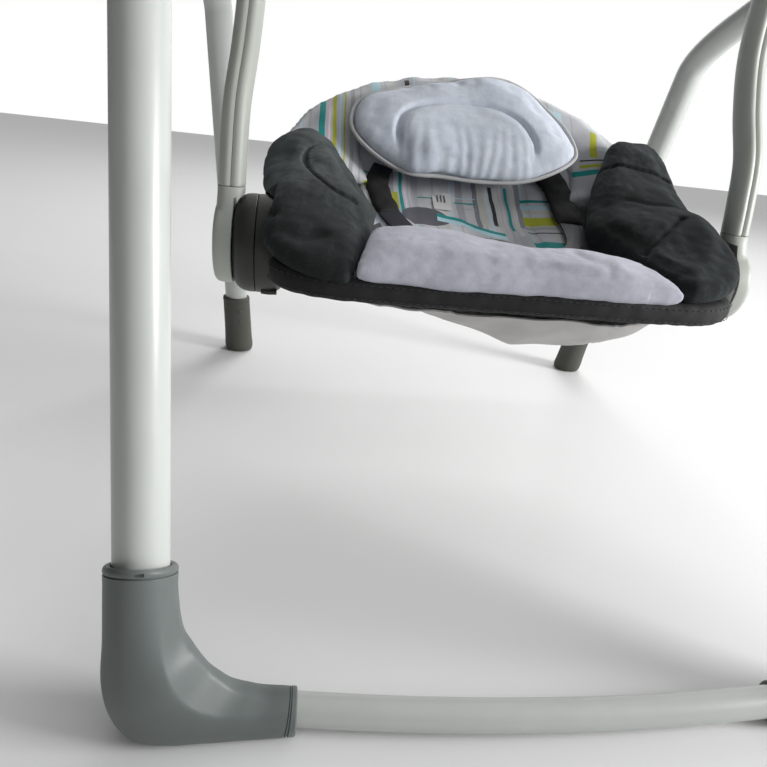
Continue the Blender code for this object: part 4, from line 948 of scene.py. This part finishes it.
def inflate(obj, cap=0.005, voxel=0.0045):
    """Swell a closed form like a stuffed cover; no point sinks, or moves further than cap."""
    remesh(obj, voxel)
    rest = vertices(obj)
    cloth = obj.modifiers.new("cloth", "CLOTH")
    cloth.settings.quality = 4
    cloth.settings.bending_stiffness = COVER_BENDING
    cloth.settings.use_pressure = True
    cloth.settings.uniform_pressure_force = COVER_PRESSURE
    cloth.settings.effector_weights.gravity = 0
    cloth.point_cache.frame_start, cloth.point_cache.frame_end = 1, SWELL_FRAMES
    for step in range(1, SWELL_FRAMES + 1):
        bpy.context.scene.frame_set(step)
    graph = bpy.context.evaluated_depsgraph_get()
    swollen = obj.evaluated_get(graph).to_mesh()
    moved, out = per_vertex(swollen, "co") - rest, normals(obj)
    moved -= out * np.minimum((moved * out).sum(axis=1), 0)[:, None]      # it never shrinks
    reach = np.linalg.norm(moved, axis=1, keepdims=True)
    moved *= np.minimum(1.0, cap / np.maximum(reach, 1e-9))
    obj.modifiers.remove(cloth)
    bpy.context.scene.frame_set(1)
    place(obj, rest + moved)
    relax(obj, 2)
    return finer(obj)


def distance_to(points, line):
    """How far each point is from a line of close points, and which of them is nearest."""
    best, nearest = np.full(len(points), 9.0), np.zeros(len(points), int)
    for index, knot in enumerate(line):
        d = np.linalg.norm(points - knot, axis=1)
        closer = d < best
        best[closer], nearest[closer] = d[closer], index
    return best, nearest


def on_surface(obj, point):
    found, place_, _, _ = obj.closest_point_on_mesh(Vector(point))
    return np.array(place_) if found else np.array(point)


def press(obj, line, depth, width, pucker=0.0, pitch=0.006):
    """Sew a line into a soft piece: the cover sinks there, and gathers if it puckers."""
    step = 0.0015
    line = even([on_surface(obj, p) for p in smooth_line(line, 8)], step)
    away, nearest = distance_to(vertices(obj), line)
    sink = depth * np.exp(-(away / width)**2)
    if pucker:
        ripple = np.sin(nearest * step / pitch * 2 * math.pi)
        sink += pucker * ripple * np.exp(-(away / (width * 2.6))**2)
    lift_by(obj, -sink)
    return obj


def rumple(obj, size, height, seed=0.0):
    """Low uneven swells, so that no stuffed surface is a perfect form."""
    shift = Vector((seed, seed * 2, 0))
    lift = np.array([noise.noise(Vector(p) / size + shift) for p in vertices(obj)])
    lift_by(obj, lift * height)
    return obj


def bolster(side):
    """Side cushion: a swept wing with a sewn tongue on its inner face and a crease outside."""
    rows = [(*outer, *inner, half) for outer, inner, half in BOLSTER_ROWS + BOLSTER_TOPS[side]]
    dense = smooth_line(rows, 5)
    rings = []
    for index, row in enumerate(dense):
        outer, inner, half = row[:3] * (side, 1, 1), row[3:6] * (side, 1, 1), row[6] - 0.002
        if side > 0:        # the right cushion leans in over the strap
            inner[0] -= 0.008 * math.exp(-((index - 18) / 10)**2)
        before, after = dense[max(index - 1, 0)], dense[min(index + 1, len(dense) - 1)]
        along = (after - before)[:3] * (side, 1, 1) + (after - before)[3:6] * (side, 1, 1)
        span = (inner - outer) / 2
        up = unit(np.cross(along, span))
        up *= math.copysign(half, up[2])
        centre = (outer + inner) / 2
        r = ring(centre, span * 0.975, up, 36, SECTION_POWER[side])
        # the left cover turns down over the rim on the outer side, the right one stands up
        share = np.clip(((r - centre) @ -unit(span)) / np.linalg.norm(span), 0, 1)**3
        r[:, 2] += share * OUTER_LIFT[side]
        rings.append(r)
    made = loft("bolster_cover" + end_of(side), rings, "charcoal_plush", sharp=SOFT)
    inflate(made)
    finer(made)
    tongue, crease = TONGUES[side]
    press(made, tongue, 0.0042, 0.0026, 0.0003, 0.009)
    for line, depth, width in crease:
        press(made, line, depth, width)
    away = (vertices(made) - TONGUE_MIDDLE * (side, 1, 1)) / TONGUE_SIZE
    lobe = np.exp(-np.linalg.norm(away, axis=1)**2)
    lift_by(made, lobe * TONGUE_SWELL * np.clip(normals(made)[:, 2], 0, 1))
    rumple(made, 0.035, 0.0024, 3.0 + side)
    rumple(made, 0.012, 0.0007, 7.0 + side)
    # the cover lies flat against the hub
    points = vertices(made)
    face = HUB_FACES_X[0] - 0.0008
    near = np.hypot(points[:, 1] - HUB_Y, points[:, 2] - HUB_Z) < HUB_R + 0.0015
    caught = near & (points[:, 0] * side > face)
    points[caught, 0] = side * face
    place(made, points)
    stands_for(made, "charcoal_plush", "bolster" + end_of(side))
    return made


def front_roll():
    """The plush roll across the foot end, between the bolsters."""
    rings = []
    for u in np.linspace(-1, 1, 61):
        bow = 0.004 * (1 - u * u)
        full = np.clip((0.15 - u) / 0.90, 0, 1)            # fuller towards the left end
        front = np.array([ROLL_FRONT_X * u, -0.1525 - bow * 0.5, 0.2800])
        back = np.array([ROLL_BACK_X * u, -0.0600 - bow + 0.007 * full, 0.2860 + 0.010 * full])
        centre, span = (front + back) / 2, (back - front) / 2
        swell = 1 - 0.30 * abs(u)**12
        high = (0.0155 + 0.0030 * full) * swell
        rings.append(ring(centre, span * (1 - 0.05 * abs(u)**10), (0, 0, high), 36, 2.4))
    made = loft("front_roll_cover", rings, "lavender_plush", sharp=SOFT)
    inflate(made, 0.006)
    press(made, [(0.056, -0.105, 0.299), (0.067, -0.121, 0.298), (0.079, -0.133, 0.295)], 0.0016, 0.0075)
    rumple(made, 0.045, 0.0026, 1.0)
    rumple(made, 0.011, 0.0006, 5.0)
    stands_for(made, "lavender_plush", "front_roll")
    return made


def on_back(x, along, lift):
    """A point on the reclined back: along from its foot, lift out of it."""
    return np.array([x, *BACK_FOOT[1:]]) + BACK * along + OUT_OF_BACK * lift


PILLOW_OUTLINE = [(-0.150, 0.232), (-0.138, 0.262), (-0.090, 0.286), (-0.004, 0.314),
                  (0.040, 0.322), (0.072, 0.310), (0.098, 0.284), (0.123, 0.252), (0.134, 0.218),
                  (0.126, 0.200), (0.096, 0.178), (0.058, 0.162), (0.006, 0.156), (-0.044, 0.158),
                  (-0.082, 0.158), (-0.117, 0.177), (-0.144, 0.206)]
PILLOW_LIFT = 0.026


def pillow():
    """Head pillow: a bean of plush with a piped edge and an oval cushion sewn into it."""
    outline = even(smooth_line(PILLOW_OUTLINE, 8, cyclic=True), 0.006)
    middle = outline.mean(axis=0)
    rings = []
    for lift, grow in ((-0.014, 0.60), (-0.012, 0.88), (-0.006, 0.975), (0.0, 0.99),
                       (0.006, 0.975), (0.012, 0.88), (0.014, 0.60)):
        flat = middle + (outline - middle) * grow
        rings.append(np.array([on_back(x, a, PILLOW_LIFT + lift) for x, a in flat]))
    made = loft("head_pillow_cover", rings, "pillow_plush", sharp=SOFT)
    inflate(made)
    oval = [(-0.088, 0.150), (-0.096, 0.180), (-0.097, 0.212), (-0.086, 0.236), (-0.060, 0.250),
            (-0.015, 0.258), (0.028, 0.255), (0.060, 0.236), (0.074, 0.205), (0.074, 0.178),
            (0.070, 0.152)]
    line = even(smooth_line([on_back(x, a, PILLOW_LIFT + 0.018) for x, a in oval], 8), 0.002)
    points = vertices(made)
    away, _ = distance_to(points, line)
    facing = np.clip(normals(made) @ OUT_OF_BACK * 2, 0, 1)
    lift = -0.0060 * np.exp(-(away / 0.0034)**2)
    x, along = points[:, 0], (points - BACK_FOOT) @ BACK
    inside = (1 / (1 + np.exp(-(0.080 - abs(x + 0.011)) / 0.006))
              / (1 + np.exp(-(0.238 - along) / 0.008)))
    lift += inside * 0.0055 * np.clip(away / 0.014, 0, 1)
    # gathers run up from the lower seam
    sway = np.array([noise.noise(Vector((p[0] * 26, a * 9, 4.0))) for p, a in zip(points, along)])
    folds = np.sin((x * 2 * math.pi / 0.015) + sway * 6.0)
    lift += inside * 0.0006 * folds * np.clip((0.226 - along) / 0.05, 0, 1)
    lift_by(made, lift * facing)
    rumple(made, 0.045, 0.0030, 9.0)
    rumple(made, 0.016, 0.0005, 11.0)
    stands_for(made, "lavender_plush", "head_pillow")
    edge = even(smooth_line([on_back(x, a, PILLOW_LIFT) for x, a in
                             middle + (outline[::3] - middle) * 1.016], 3, cyclic=True), 0.004)
    piping = tube("pillow_piping", edge, 0.0024, "piping", 14, cyclic=True, sharp=SOFT)
    stands_for(piping, "lavender_plush", body="seat")


def pad_point(x, v, lift=0.0):
    """A point on the seat pad's upper face: v runs 0 to 9 from front to back."""
    columns, last = np.array(PAD_ROWS).T, len(PAD_ROWS) - 1
    half, y, z = (np.interp(v, range(last + 1), column) for column in columns)
    u = x / half
    rise = 0.006 * u * u + 0.10 * max(abs(u) - 1.0, 0.0)
    low, high = max(v - 0.5, 0), min(v + 0.5, last)
    run, climb = (np.interp(high, range(last + 1), column) - np.interp(low, range(last + 1), column)
                  for column in columns[1:])
    slope = unit(np.array([0, run, climb]))
    normal = np.array([0, -slope[2], slope[1]])
    return np.array([x, y - 0.003 * u * u, z + rise]) + normal * lift


def pad():
    """The printed seat pad, a little crowned, with its long channels sewn in."""
    rings = []
    fine = smooth_line([(v,) for v in range(10)], 6)[:, 0]
    for v in fine:
        half = np.interp(v, range(10), [row[0] for row in PAD_ROWS]) + 0.012
        xs = np.linspace(-half, half, 41)
        ease = np.clip((1 - abs(xs / half)) / 0.10, 0, 1)**0.5
        end_ease = min(1.0, min(v, 9 - v) / 0.35)**0.5
        thick = 0.0065 * ease * (0.25 + 0.75 * end_ease) + 0.0008
        upper = [pad_point(x, v, -0.0065 + t) for x, t in zip(xs, thick)]
        lower = [pad_point(x, v, -0.0065 - t) for x, t in zip(xs[::-1], thick[::-1])]
        rings.append(np.array(upper + lower))
    made = loft("seat_pad_cover", rings, "print_fabric", sharp=SOFT)
    for x in (-0.072, 0.072):
        press(made, [pad_point(x, v, 0.0) for v in (0.6, 2, 4, 6, 8.4)], 0.0028, 0.0035, 0.0005, 0.013)
    press(made, [pad_point(x, 2.2 + 8 * x * x, 0.0) for x in (-0.072, -0.03, 0.03, 0.072)],
          0.0022, 0.0035)
    rumple(made, 0.030, 0.0024, 2.0)
    rumple(made, 0.011, 0.0008, 6.0)
    stands_for(made, "print_fabric", "seat_pad")
    tag_rows = [[pad_point(x, v, 0.0012 + 0.002 * abs(v - 5.2)) for x in np.linspace(-0.047, -0.024, 7)]
                for v in np.linspace(4.4, 5.2, 10)]
    tag = sheet_mesh("care_tag", tag_rows, 0.0004, "label")
    stands_for(tag, "print_fabric", body="seat")
    bars = []
    for k in range(3):
        x = -0.0415 + k * 0.0045
        rows = [[pad_point(x + d, v, 0.0018 + 0.002 * abs(v - 5.2)) for d in (0, 0.0016)]
                for v in np.linspace(4.75, 5.1, 4)]
        bars.append(sheet_mesh("care_tag_bars", rows, 0.0002, "label_ink"))
    bar = join(*bars)
    stands_for(bar, "print_fabric", body="seat")


def sheet_mesh(name, rows, thickness, look, sharp=SOFT):
    """A sheet through rows of points, with its thickness added on its upper side."""
    count = len(rows[0])
    faces = [(r * count + i, r * count + i + 1, (r + 1) * count + i + 1, (r + 1) * count + i)
             for r in range(len(rows) - 1) for i in range(count - 1)]
    made = add(name, np.vstack(rows), faces, look, sharp)
    return modified(made, "SOLIDIFY", 60, thickness=thickness, offset=1.0)


def back_edge():
    """Printed cover wrapped round the rim behind the head, running in under the pillow."""
    inner = [(0.140, 0.105, 0.325), (0.152, 0.142, 0.352), (0.142, 0.166, 0.380),
             (0.112, 0.181, 0.396), (0.060, 0.186, 0.401), (0.000, 0.188, 0.403)]
    outer = HOOP_HALF[11:]
    half = [(*o, *i) for o, i in zip(outer, inner)]
    rows = half + [(-a, b, c, -d, e, f) for a, b, c, d, e, f in half[-2::-1]]
    rings = []
    dense = smooth_line(rows, 7)
    for index, row in enumerate(dense):
        before, after = dense[max(index - 1, 0)], dense[min(index + 1, len(dense) - 1)]
        along = unit((after - before)[:3])
        span = (row[3:] - row[:3]) / 2
        up = unit(np.cross(along, span))
        up *= math.copysign(1, up[2])
        r = ring((row[:3] + row[3:]) / 2, span * (1 + 0.012 / np.linalg.norm(span)), up * 0.0110, 28, 2.3)
        rings.append(r)
    made = loft("back_cover", rings, "print_fabric", sharp=SOFT)
    inflate(made, voxel=0.005)
    rumple(made, 0.028, 0.0026, 12.0)
    stands_for(made, "print_fabric", body="seat")


def rim():
    """The rim tube, its black binding with two stitch lines, and the two hub brackets."""
    line = smooth_line(HOOP_HALF + [(-x, y, z) for x, y, z in HOOP_HALF[-2:0:-1]], 6, cyclic=True)
    hoop = tube("rim_tube", even(np.vstack([line, line[:1]]), 0.006)[:-1], HOOP_R, "steel", 24, cyclic=True)
    stands_for(hoop, "steel", "seat_hoop")
    front = [p for p in HOOP_HALF if p[1] < HUB_Y]
    half_line = [(-x, y, z) for x, y, z in front[::-1]] + front[1:]
    path = smooth_line(half_line, 8)
    path = even(path[path[:, 1] < BAND_END_Y + 0.002], 0.003)
    outward = [unit(np.cross(along, (0, 0, 1))) for along, _, _ in across(path)]
    rings = [ring(p, out * BAND_R * 0.92, np.array([0, 0, BAND_R]), 28, 2.7)
             for p, out in zip(path, outward)]
    band = loft("edge_binding", rings, "black_binding", sharp=SOFT)
    rumple(band, 0.012, 0.0010, 4.0)
    stitches = []
    for height in (0.0062, -0.0066):
        track = even([p + out * BAND_R * 0.93 + np.array([0, 0, height])
                      for p, out in zip(path, outward)], 0.0035)
        for a, b in zip(track[:-1:2], track[1::2]):
            stitches.append(tube("edge_stitches", [a, (a + b) / 2, b], 0.00045, "webbing", 6))
    stitch = join(*stitches)
    stands_for(stitch, "webbing", body="seat")
    stands_for(band, "black_binding", "edge_band")
    for side in SIDES:
        x0, x1 = sorted((side * 0.1960, side * (HUB_FACES_X[0] - GAP)))
        rings = [ring((x, HUB_Y, HUB_Z + 0.002), (0, 0.030 * s, 0), (0, 0, 0.016 * s), 32, 4)
                 for x, s in ((x0, 0.93), (x0 + 0.0015, 1), (x1 - 0.0015, 1), (x1, 0.93))]
        bracket = loft("rim_bracket" + end_of(side), rings, "hub_plastic")
        stands_for(bracket, "hub_plastic", "hoop_bracket" + end_of(side))


SLING_SEAMS_X, SNAP_AT = (-0.060, 0.110), np.array([0.079, -0.046, 0.1975])


def sling():
    """The seat's sling: one light sheet hung from the rim, with two seams and soft drag lines."""
    rows = smooth_line([(*rim_, *keel) for rim_, keel in SLING_ROWS], 5)
    grid = []
    for index, row in enumerate(rows):
        us = np.linspace(-1, 1, 65)
        share, right = abs(us), us > 0
        taut = np.clip((SLING_TAUT_ROWS - index / 5) / 3, 0, 1)
        wide, rise = share**0.85, share**3.2
        wide = np.where(right, wide, taut * share + (1 - taut) * wide)
        rise = np.where(right, rise, taut * (1 - (1 - share)**1.15) + (1 - taut) * rise)
        reach = np.where(right, row[0], -row[0]) - row[3]
        points = np.column_stack([row[3] + reach * wide, row[4] + (row[1] - row[4]) * rise,
                                  row[5] + (row[2] - row[5]) * rise])
        drag = 0.0016 * np.sin(share * 22 + index / 9) * np.clip(share - 0.35, 0, 1)
        bump = np.array([noise.noise(Vector(p) / 0.05) for p in points]) * 0.004 * (1 - share**6)
        points[:, 2] += drag + bump + 0.0010
        grid.append(points)
    made = sheet_mesh("seat_sling_cloth", grid, 0.0016, "sling_fabric", sharp=SOFT)
    for x in SLING_SEAMS_X:
        points = vertices(made)
        away = abs(points[:, 0] - x)
        points[:, 2] += 0.0016 * np.exp(-(away / 0.0025)**2)
        place(made, points)
    stands_for(made, "sling_fabric", "seat_sling")
    profile = rounded([(0.0, 0.0), (0.0065, 0.0), (0.0075, 0.004), (0.004, 0.0065), (0.0, 0.007)],
                      [0, 0.001, 0.002, 0.001], 4)
    rings = [ring(SNAP_AT - (0, 0, h), (max(r, 0.0006), 0, 0), (0, max(r, 0.0006), 0), 28)
             for r, h in profile]
    knob = loft("sling_snap", rings, "buckle_plastic")
    stands_for(knob, "buckle_plastic", body="seat")


def laid_on_pad(path, raised=0.0):
    """(centre, width direction, normal) along (x, v, lift) points of the pad's face."""
    centre = np.array([pad_point(x, v, lift + raised) for x, v, lift in path])
    rows = []
    for p, (along, _, _), (x, v, lift) in zip(centre, across(centre), path):
        normal = unit(pad_point(x, v, lift + 0.01) - pad_point(x, v, lift))
        rows.append((p, unit(np.cross(along, normal)), normal))
    return rows


def ribbon(name, path, half_width, thickness, look):
    """A flat strap, a little crowned, along (x, v, lift) points of the pad's face."""
    rows = []
    for p, wide, normal in laid_on_pad(smooth_line(path, 8)):
        wide, crown = wide * half_width, normal * thickness * 0.3
        rows.append([p - wide, p - wide * 0.8 + crown, p + crown, p + wide * 0.8 + crown, p + wide])
    return sheet_mesh(name, rows, thickness, look, sharp=60)


COVER_HALF = {"_left": 0.0145, "_right": 0.0185}


def harness():
    """Shoulder straps in their covers, waist and crotch straps, and the buckle they meet in."""
    paths = {"_right": [(0.075, 7.4, 0.004), (0.094, 6.6, 0.004), (0.112, 5.9, 0.004),
                        (0.120, 5.0, 0.004), (0.120, 4.0, 0.004), (0.116, 3.0, 0.004),
                        (0.098, 2.4, 0.005), (0.060, 2.0, 0.008), (0.026, 1.9, 0.013)],
             "_left": [(-0.108, 5.9, 0.002), (-0.114, 5.5, 0.004), (-0.117, 5.0, 0.004),
                       (-0.112, 4.4, 0.004), (-0.104, 3.8, 0.004), (-0.094, 3.3, 0.004),
                       (-0.080, 2.7, 0.005), (-0.052, 2.1, 0.008), (-0.026, 1.9, 0.013)]}
    for end, path in paths.items():
        strap = ribbon("harness_strap" + end, path, 0.0125, 0.0016, "webbing")
        stands_for(strap, "webbing", "shoulder_strap" + end)
        stations = laid_on_pad(smooth_line(path[1:5], 6), 0.001)
        rings = []
        for index, (p, wide, normal) in enumerate(stations):
            ease = min(1.0, (min(index, len(stations) - 1 - index) + 0.4) / 2.0)**0.5
            wide = wide * COVER_HALF[end] * (0.9 + 0.1 * ease)
            rings.append(ring(p, wide, normal * 0.0052 * ease, 28, 2.6))
        cover = loft("strap_cover" + end, rings, "black_binding", sharp=SOFT)
        remesh(cover, 0.002)
        relax(cover, 3)
        rumple(cover, 0.014, 0.0016, 8.0)
        stands_for(cover, "black_binding", body="seat")
        side = 1 if end == "_right" else -1
        waist = [(side * 0.128, 2.6, 0.003), (side * 0.110, 2.3, 0.0035), (side * 0.07, 2.05, 0.006),
                 (side * 0.026, 1.95, 0.011)]
        belt = ribbon("waist_strap" + end, waist, 0.0110, 0.0014, "webbing")
        stands_for(belt, "webbing", body="seat")
    crotch = ribbon("crotch_strap_web", [(0, 1.05, 0.001), (0, 1.25, 0.006), (0, 1.45, 0.012)], 0.0125,
                    0.0016, "webbing")
    stands_for(crotch, "webbing", "crotch_strap")
    rings = []
    for h, s in ((-0.0065, 0.88), (-0.0055, 0.96), (-0.002, 1), (0.003, 1), (0.0052, 0.96), (0.0065, 0.86)):
        outline = ring((0, BUCKLE_Y, BUCKLE_Z + h), (0.027 * s, 0, 0), (0, 0.021 * s, 0), 64, 3.2)
        outline[:, 0] *= 1 + 0.10 * np.cos((outline[:, 1] - BUCKLE_Y) / 0.021 * math.pi)
        outline[:, 0] *= 0.9
        rings.append(outline)
    buckle = loft("buckle_shell", rings, "buckle_plastic")
    well = tube("well", [(0, BUCKLE_Y, BUCKLE_Z - 0.001), (0, BUCKLE_Y, BUCKLE_Z + 0.02)], 0.0089,
                "buckle_plastic", 48, start=(1, 0, 0))
    cut(buckle, well)
    prongs = []
    for side in SIDES:
        rings = [ring((side * x, BUCKLE_Y, BUCKLE_Z), (0, half, 0), (0, 0, 0.0042), 24, 3.5)
                 for x, half in ((0.022, 0.012), (0.030, 0.0125), (0.036, 0.0135), (0.0375, 0.0125))]
        prongs.append(loft("prong", rings, "buckle_plastic"))
    stands_for(join(buckle, *prongs), "buckle_plastic", "buckle_body")
    button = tube("buckle_button_cap",
                  [(0, BUCKLE_Y, BUCKLE_Z + h) for h in (0.0018, 0.0066, 0.0076, 0.0080)],
                  [0.0085, 0.0085, 0.0079, 0.0066], "button_plastic", 48, start=(1, 0, 0))
    stands_for(button, "button_plastic", "buckle_button")


# ---------------------------------------------------------------- carried-over CAD nodes
def carried_over():
    kinds = {"pivot_bush": "bearing_plastic", "pivot_axle": "steel", "hub_pin": "steel",
             "drive_coil": "copper", "drive_lever": "bearing_plastic", "drive_magnet": "steel",
             "circuit_board": "board", "battery_cell": "cell"}
    for name, obj in frame["nodes"].items():
        for kind, look in kinds.items():
            if name.startswith(kind):
                obj.data.materials.clear()
                obj.data.materials.append(LOOKS[look])


# ---------------------------------------------------------------- stage, lights and camera
# direction, where the glow starts and is full, lowest and highest level
ROOM_LIGHT = [((0.86, 0.10, 0.50), 0.20, 0.80, 0.10, 1.00), ((0.12, 0.99, -0.06), 0.74, 0.84, 0.0, 1.0)]
# name, place, aim, size and power
LIGHTS = [("key", (2.4, -0.95, 0.95), (0, -0.1, 0.25), 0.8, 70),
          ("back", (0.9, 2.4, 2.4), (0, 0, 0.3), 1.4, 40)]
FLOOR_HALF, FLOOR_Z = 6, -0.0004
CAMERA_AT, CAMERA_LENS = (-0.19948, -0.67409, 0.40995), 28.99
CAMERA_PITCH, CAMERA_YAW, CAMERA_ROLL = 0.4147, 0.1514, -0.1177


def room():
    """A wide glow from the right, a bright band behind, dark to the left and in front."""
    world = bpy.data.worlds.new("studio")
    world.use_nodes = True
    tree = world.node_tree
    heading = new_node(tree, "TexCoord").outputs["Generated"]
    levels = []
    for toward, start, full, low, high in ROOM_LIGHT:
        share = new_node(tree, "VectorMath", {0: heading, 1: toward}, operation="DOT_PRODUCT")
        level = new_node(tree, "MapRange", {"Value": share.outputs["Value"], "From Min": start,
                                            "From Max": full, "To Min": low, "To Max": high})
        levels.append(level.outputs["Result"])
    both = new_node(tree, "Math", dict(enumerate(levels)), operation="MAXIMUM")
    background = tree.nodes["Background"]
    background.inputs["Color"].default_value = (1.0, 1.0, 1.0, 1.0)
    tree.links.new(both.outputs[0], background.inputs["Strength"])
    bpy.context.scene.world = world


def stage():
    look = Look("floor", roughness=0.9)
    look.colour(look.mix(look.noise(3, 2), (0.80, 0.80, 0.80), (0.82, 0.82, 0.82)))
    corners = [(sx * FLOOR_HALF, sy * FLOOR_HALF, FLOOR_Z)
               for sx, sy in ((-1, -1), (1, -1), (1, 1), (-1, 1))]
    add("floor", corners, [(0, 1, 2, 3)], "floor")
    room()
    for name, at, aim, size, power in LIGHTS:
        data = bpy.data.lights.new(name, "AREA")
        data.size, data.energy = size, power
        light = bpy.data.objects.new(name, data)
        light.location = at
        light.rotation_euler = (Vector(aim) - Vector(at)).to_track_quat("-Z", "Y").to_euler()
        bpy.context.scene.collection.objects.link(light)


def camera():
    """The photo's own view, as fitted to its visible edges."""
    up = Vector((0, 0, 1))
    forward = Vector((math.sin(CAMERA_YAW), math.cos(CAMERA_YAW), 0))
    right = Vector((math.cos(CAMERA_YAW), -math.sin(CAMERA_YAW), 0))
    heading = forward * math.cos(CAMERA_PITCH) - up * math.sin(CAMERA_PITCH)
    lift = up * math.cos(CAMERA_PITCH) + forward * math.sin(CAMERA_PITCH)
    x_axis = right * math.cos(CAMERA_ROLL) - lift * math.sin(CAMERA_ROLL)
    y_axis = lift * math.cos(CAMERA_ROLL) + right * math.sin(CAMERA_ROLL)
    data = bpy.data.cameras.new("camera")
    data.sensor_width, data.lens, data.clip_start = 36.0, CAMERA_LENS, 0.02
    made = bpy.data.objects.new("camera", data)
    matrix = made.matrix_world.copy()
    for row in range(3):
        matrix[row][0], matrix[row][1], matrix[row][2] = x_axis[row], y_axis[row], -heading[row]
    matrix.translation = CAMERA_AT
    made.matrix_world = matrix
    bpy.context.scene.collection.objects.link(made)
    bpy.context.scene.camera = made


def main():
    for side in SIDES:
        side_frame(side)
        housing(side)
        fold_knuckle(side)
        arm(side)
        seat_hub(side)
        bolster(side)
    controls()
    bar = tube("front_crossbar_tube", bar_path(BAR_END_X), BAR_R, "painted_tube", 48)
    stands_for(bar, "painted_tube", "front_crossbar")
    x, y, z = rear_axis(BRACE_Z)
    brace = tube("rear_brace_tube", [(-x + 0.012, y, z), (0, y, z), (x - 0.012, y, z)], BRACE_R,
                 "painted_tube", 48)
    stands_for(brace, "painted_tube", "rear_brace")
    front_roll()
    pillow()
    pad()
    back_edge()
    rim()
    sling()
    harness()
    carried_over()
    stage()
    camera()
    scene = bpy.context.scene
    scene.view_settings.view_transform = "Standard"


main()
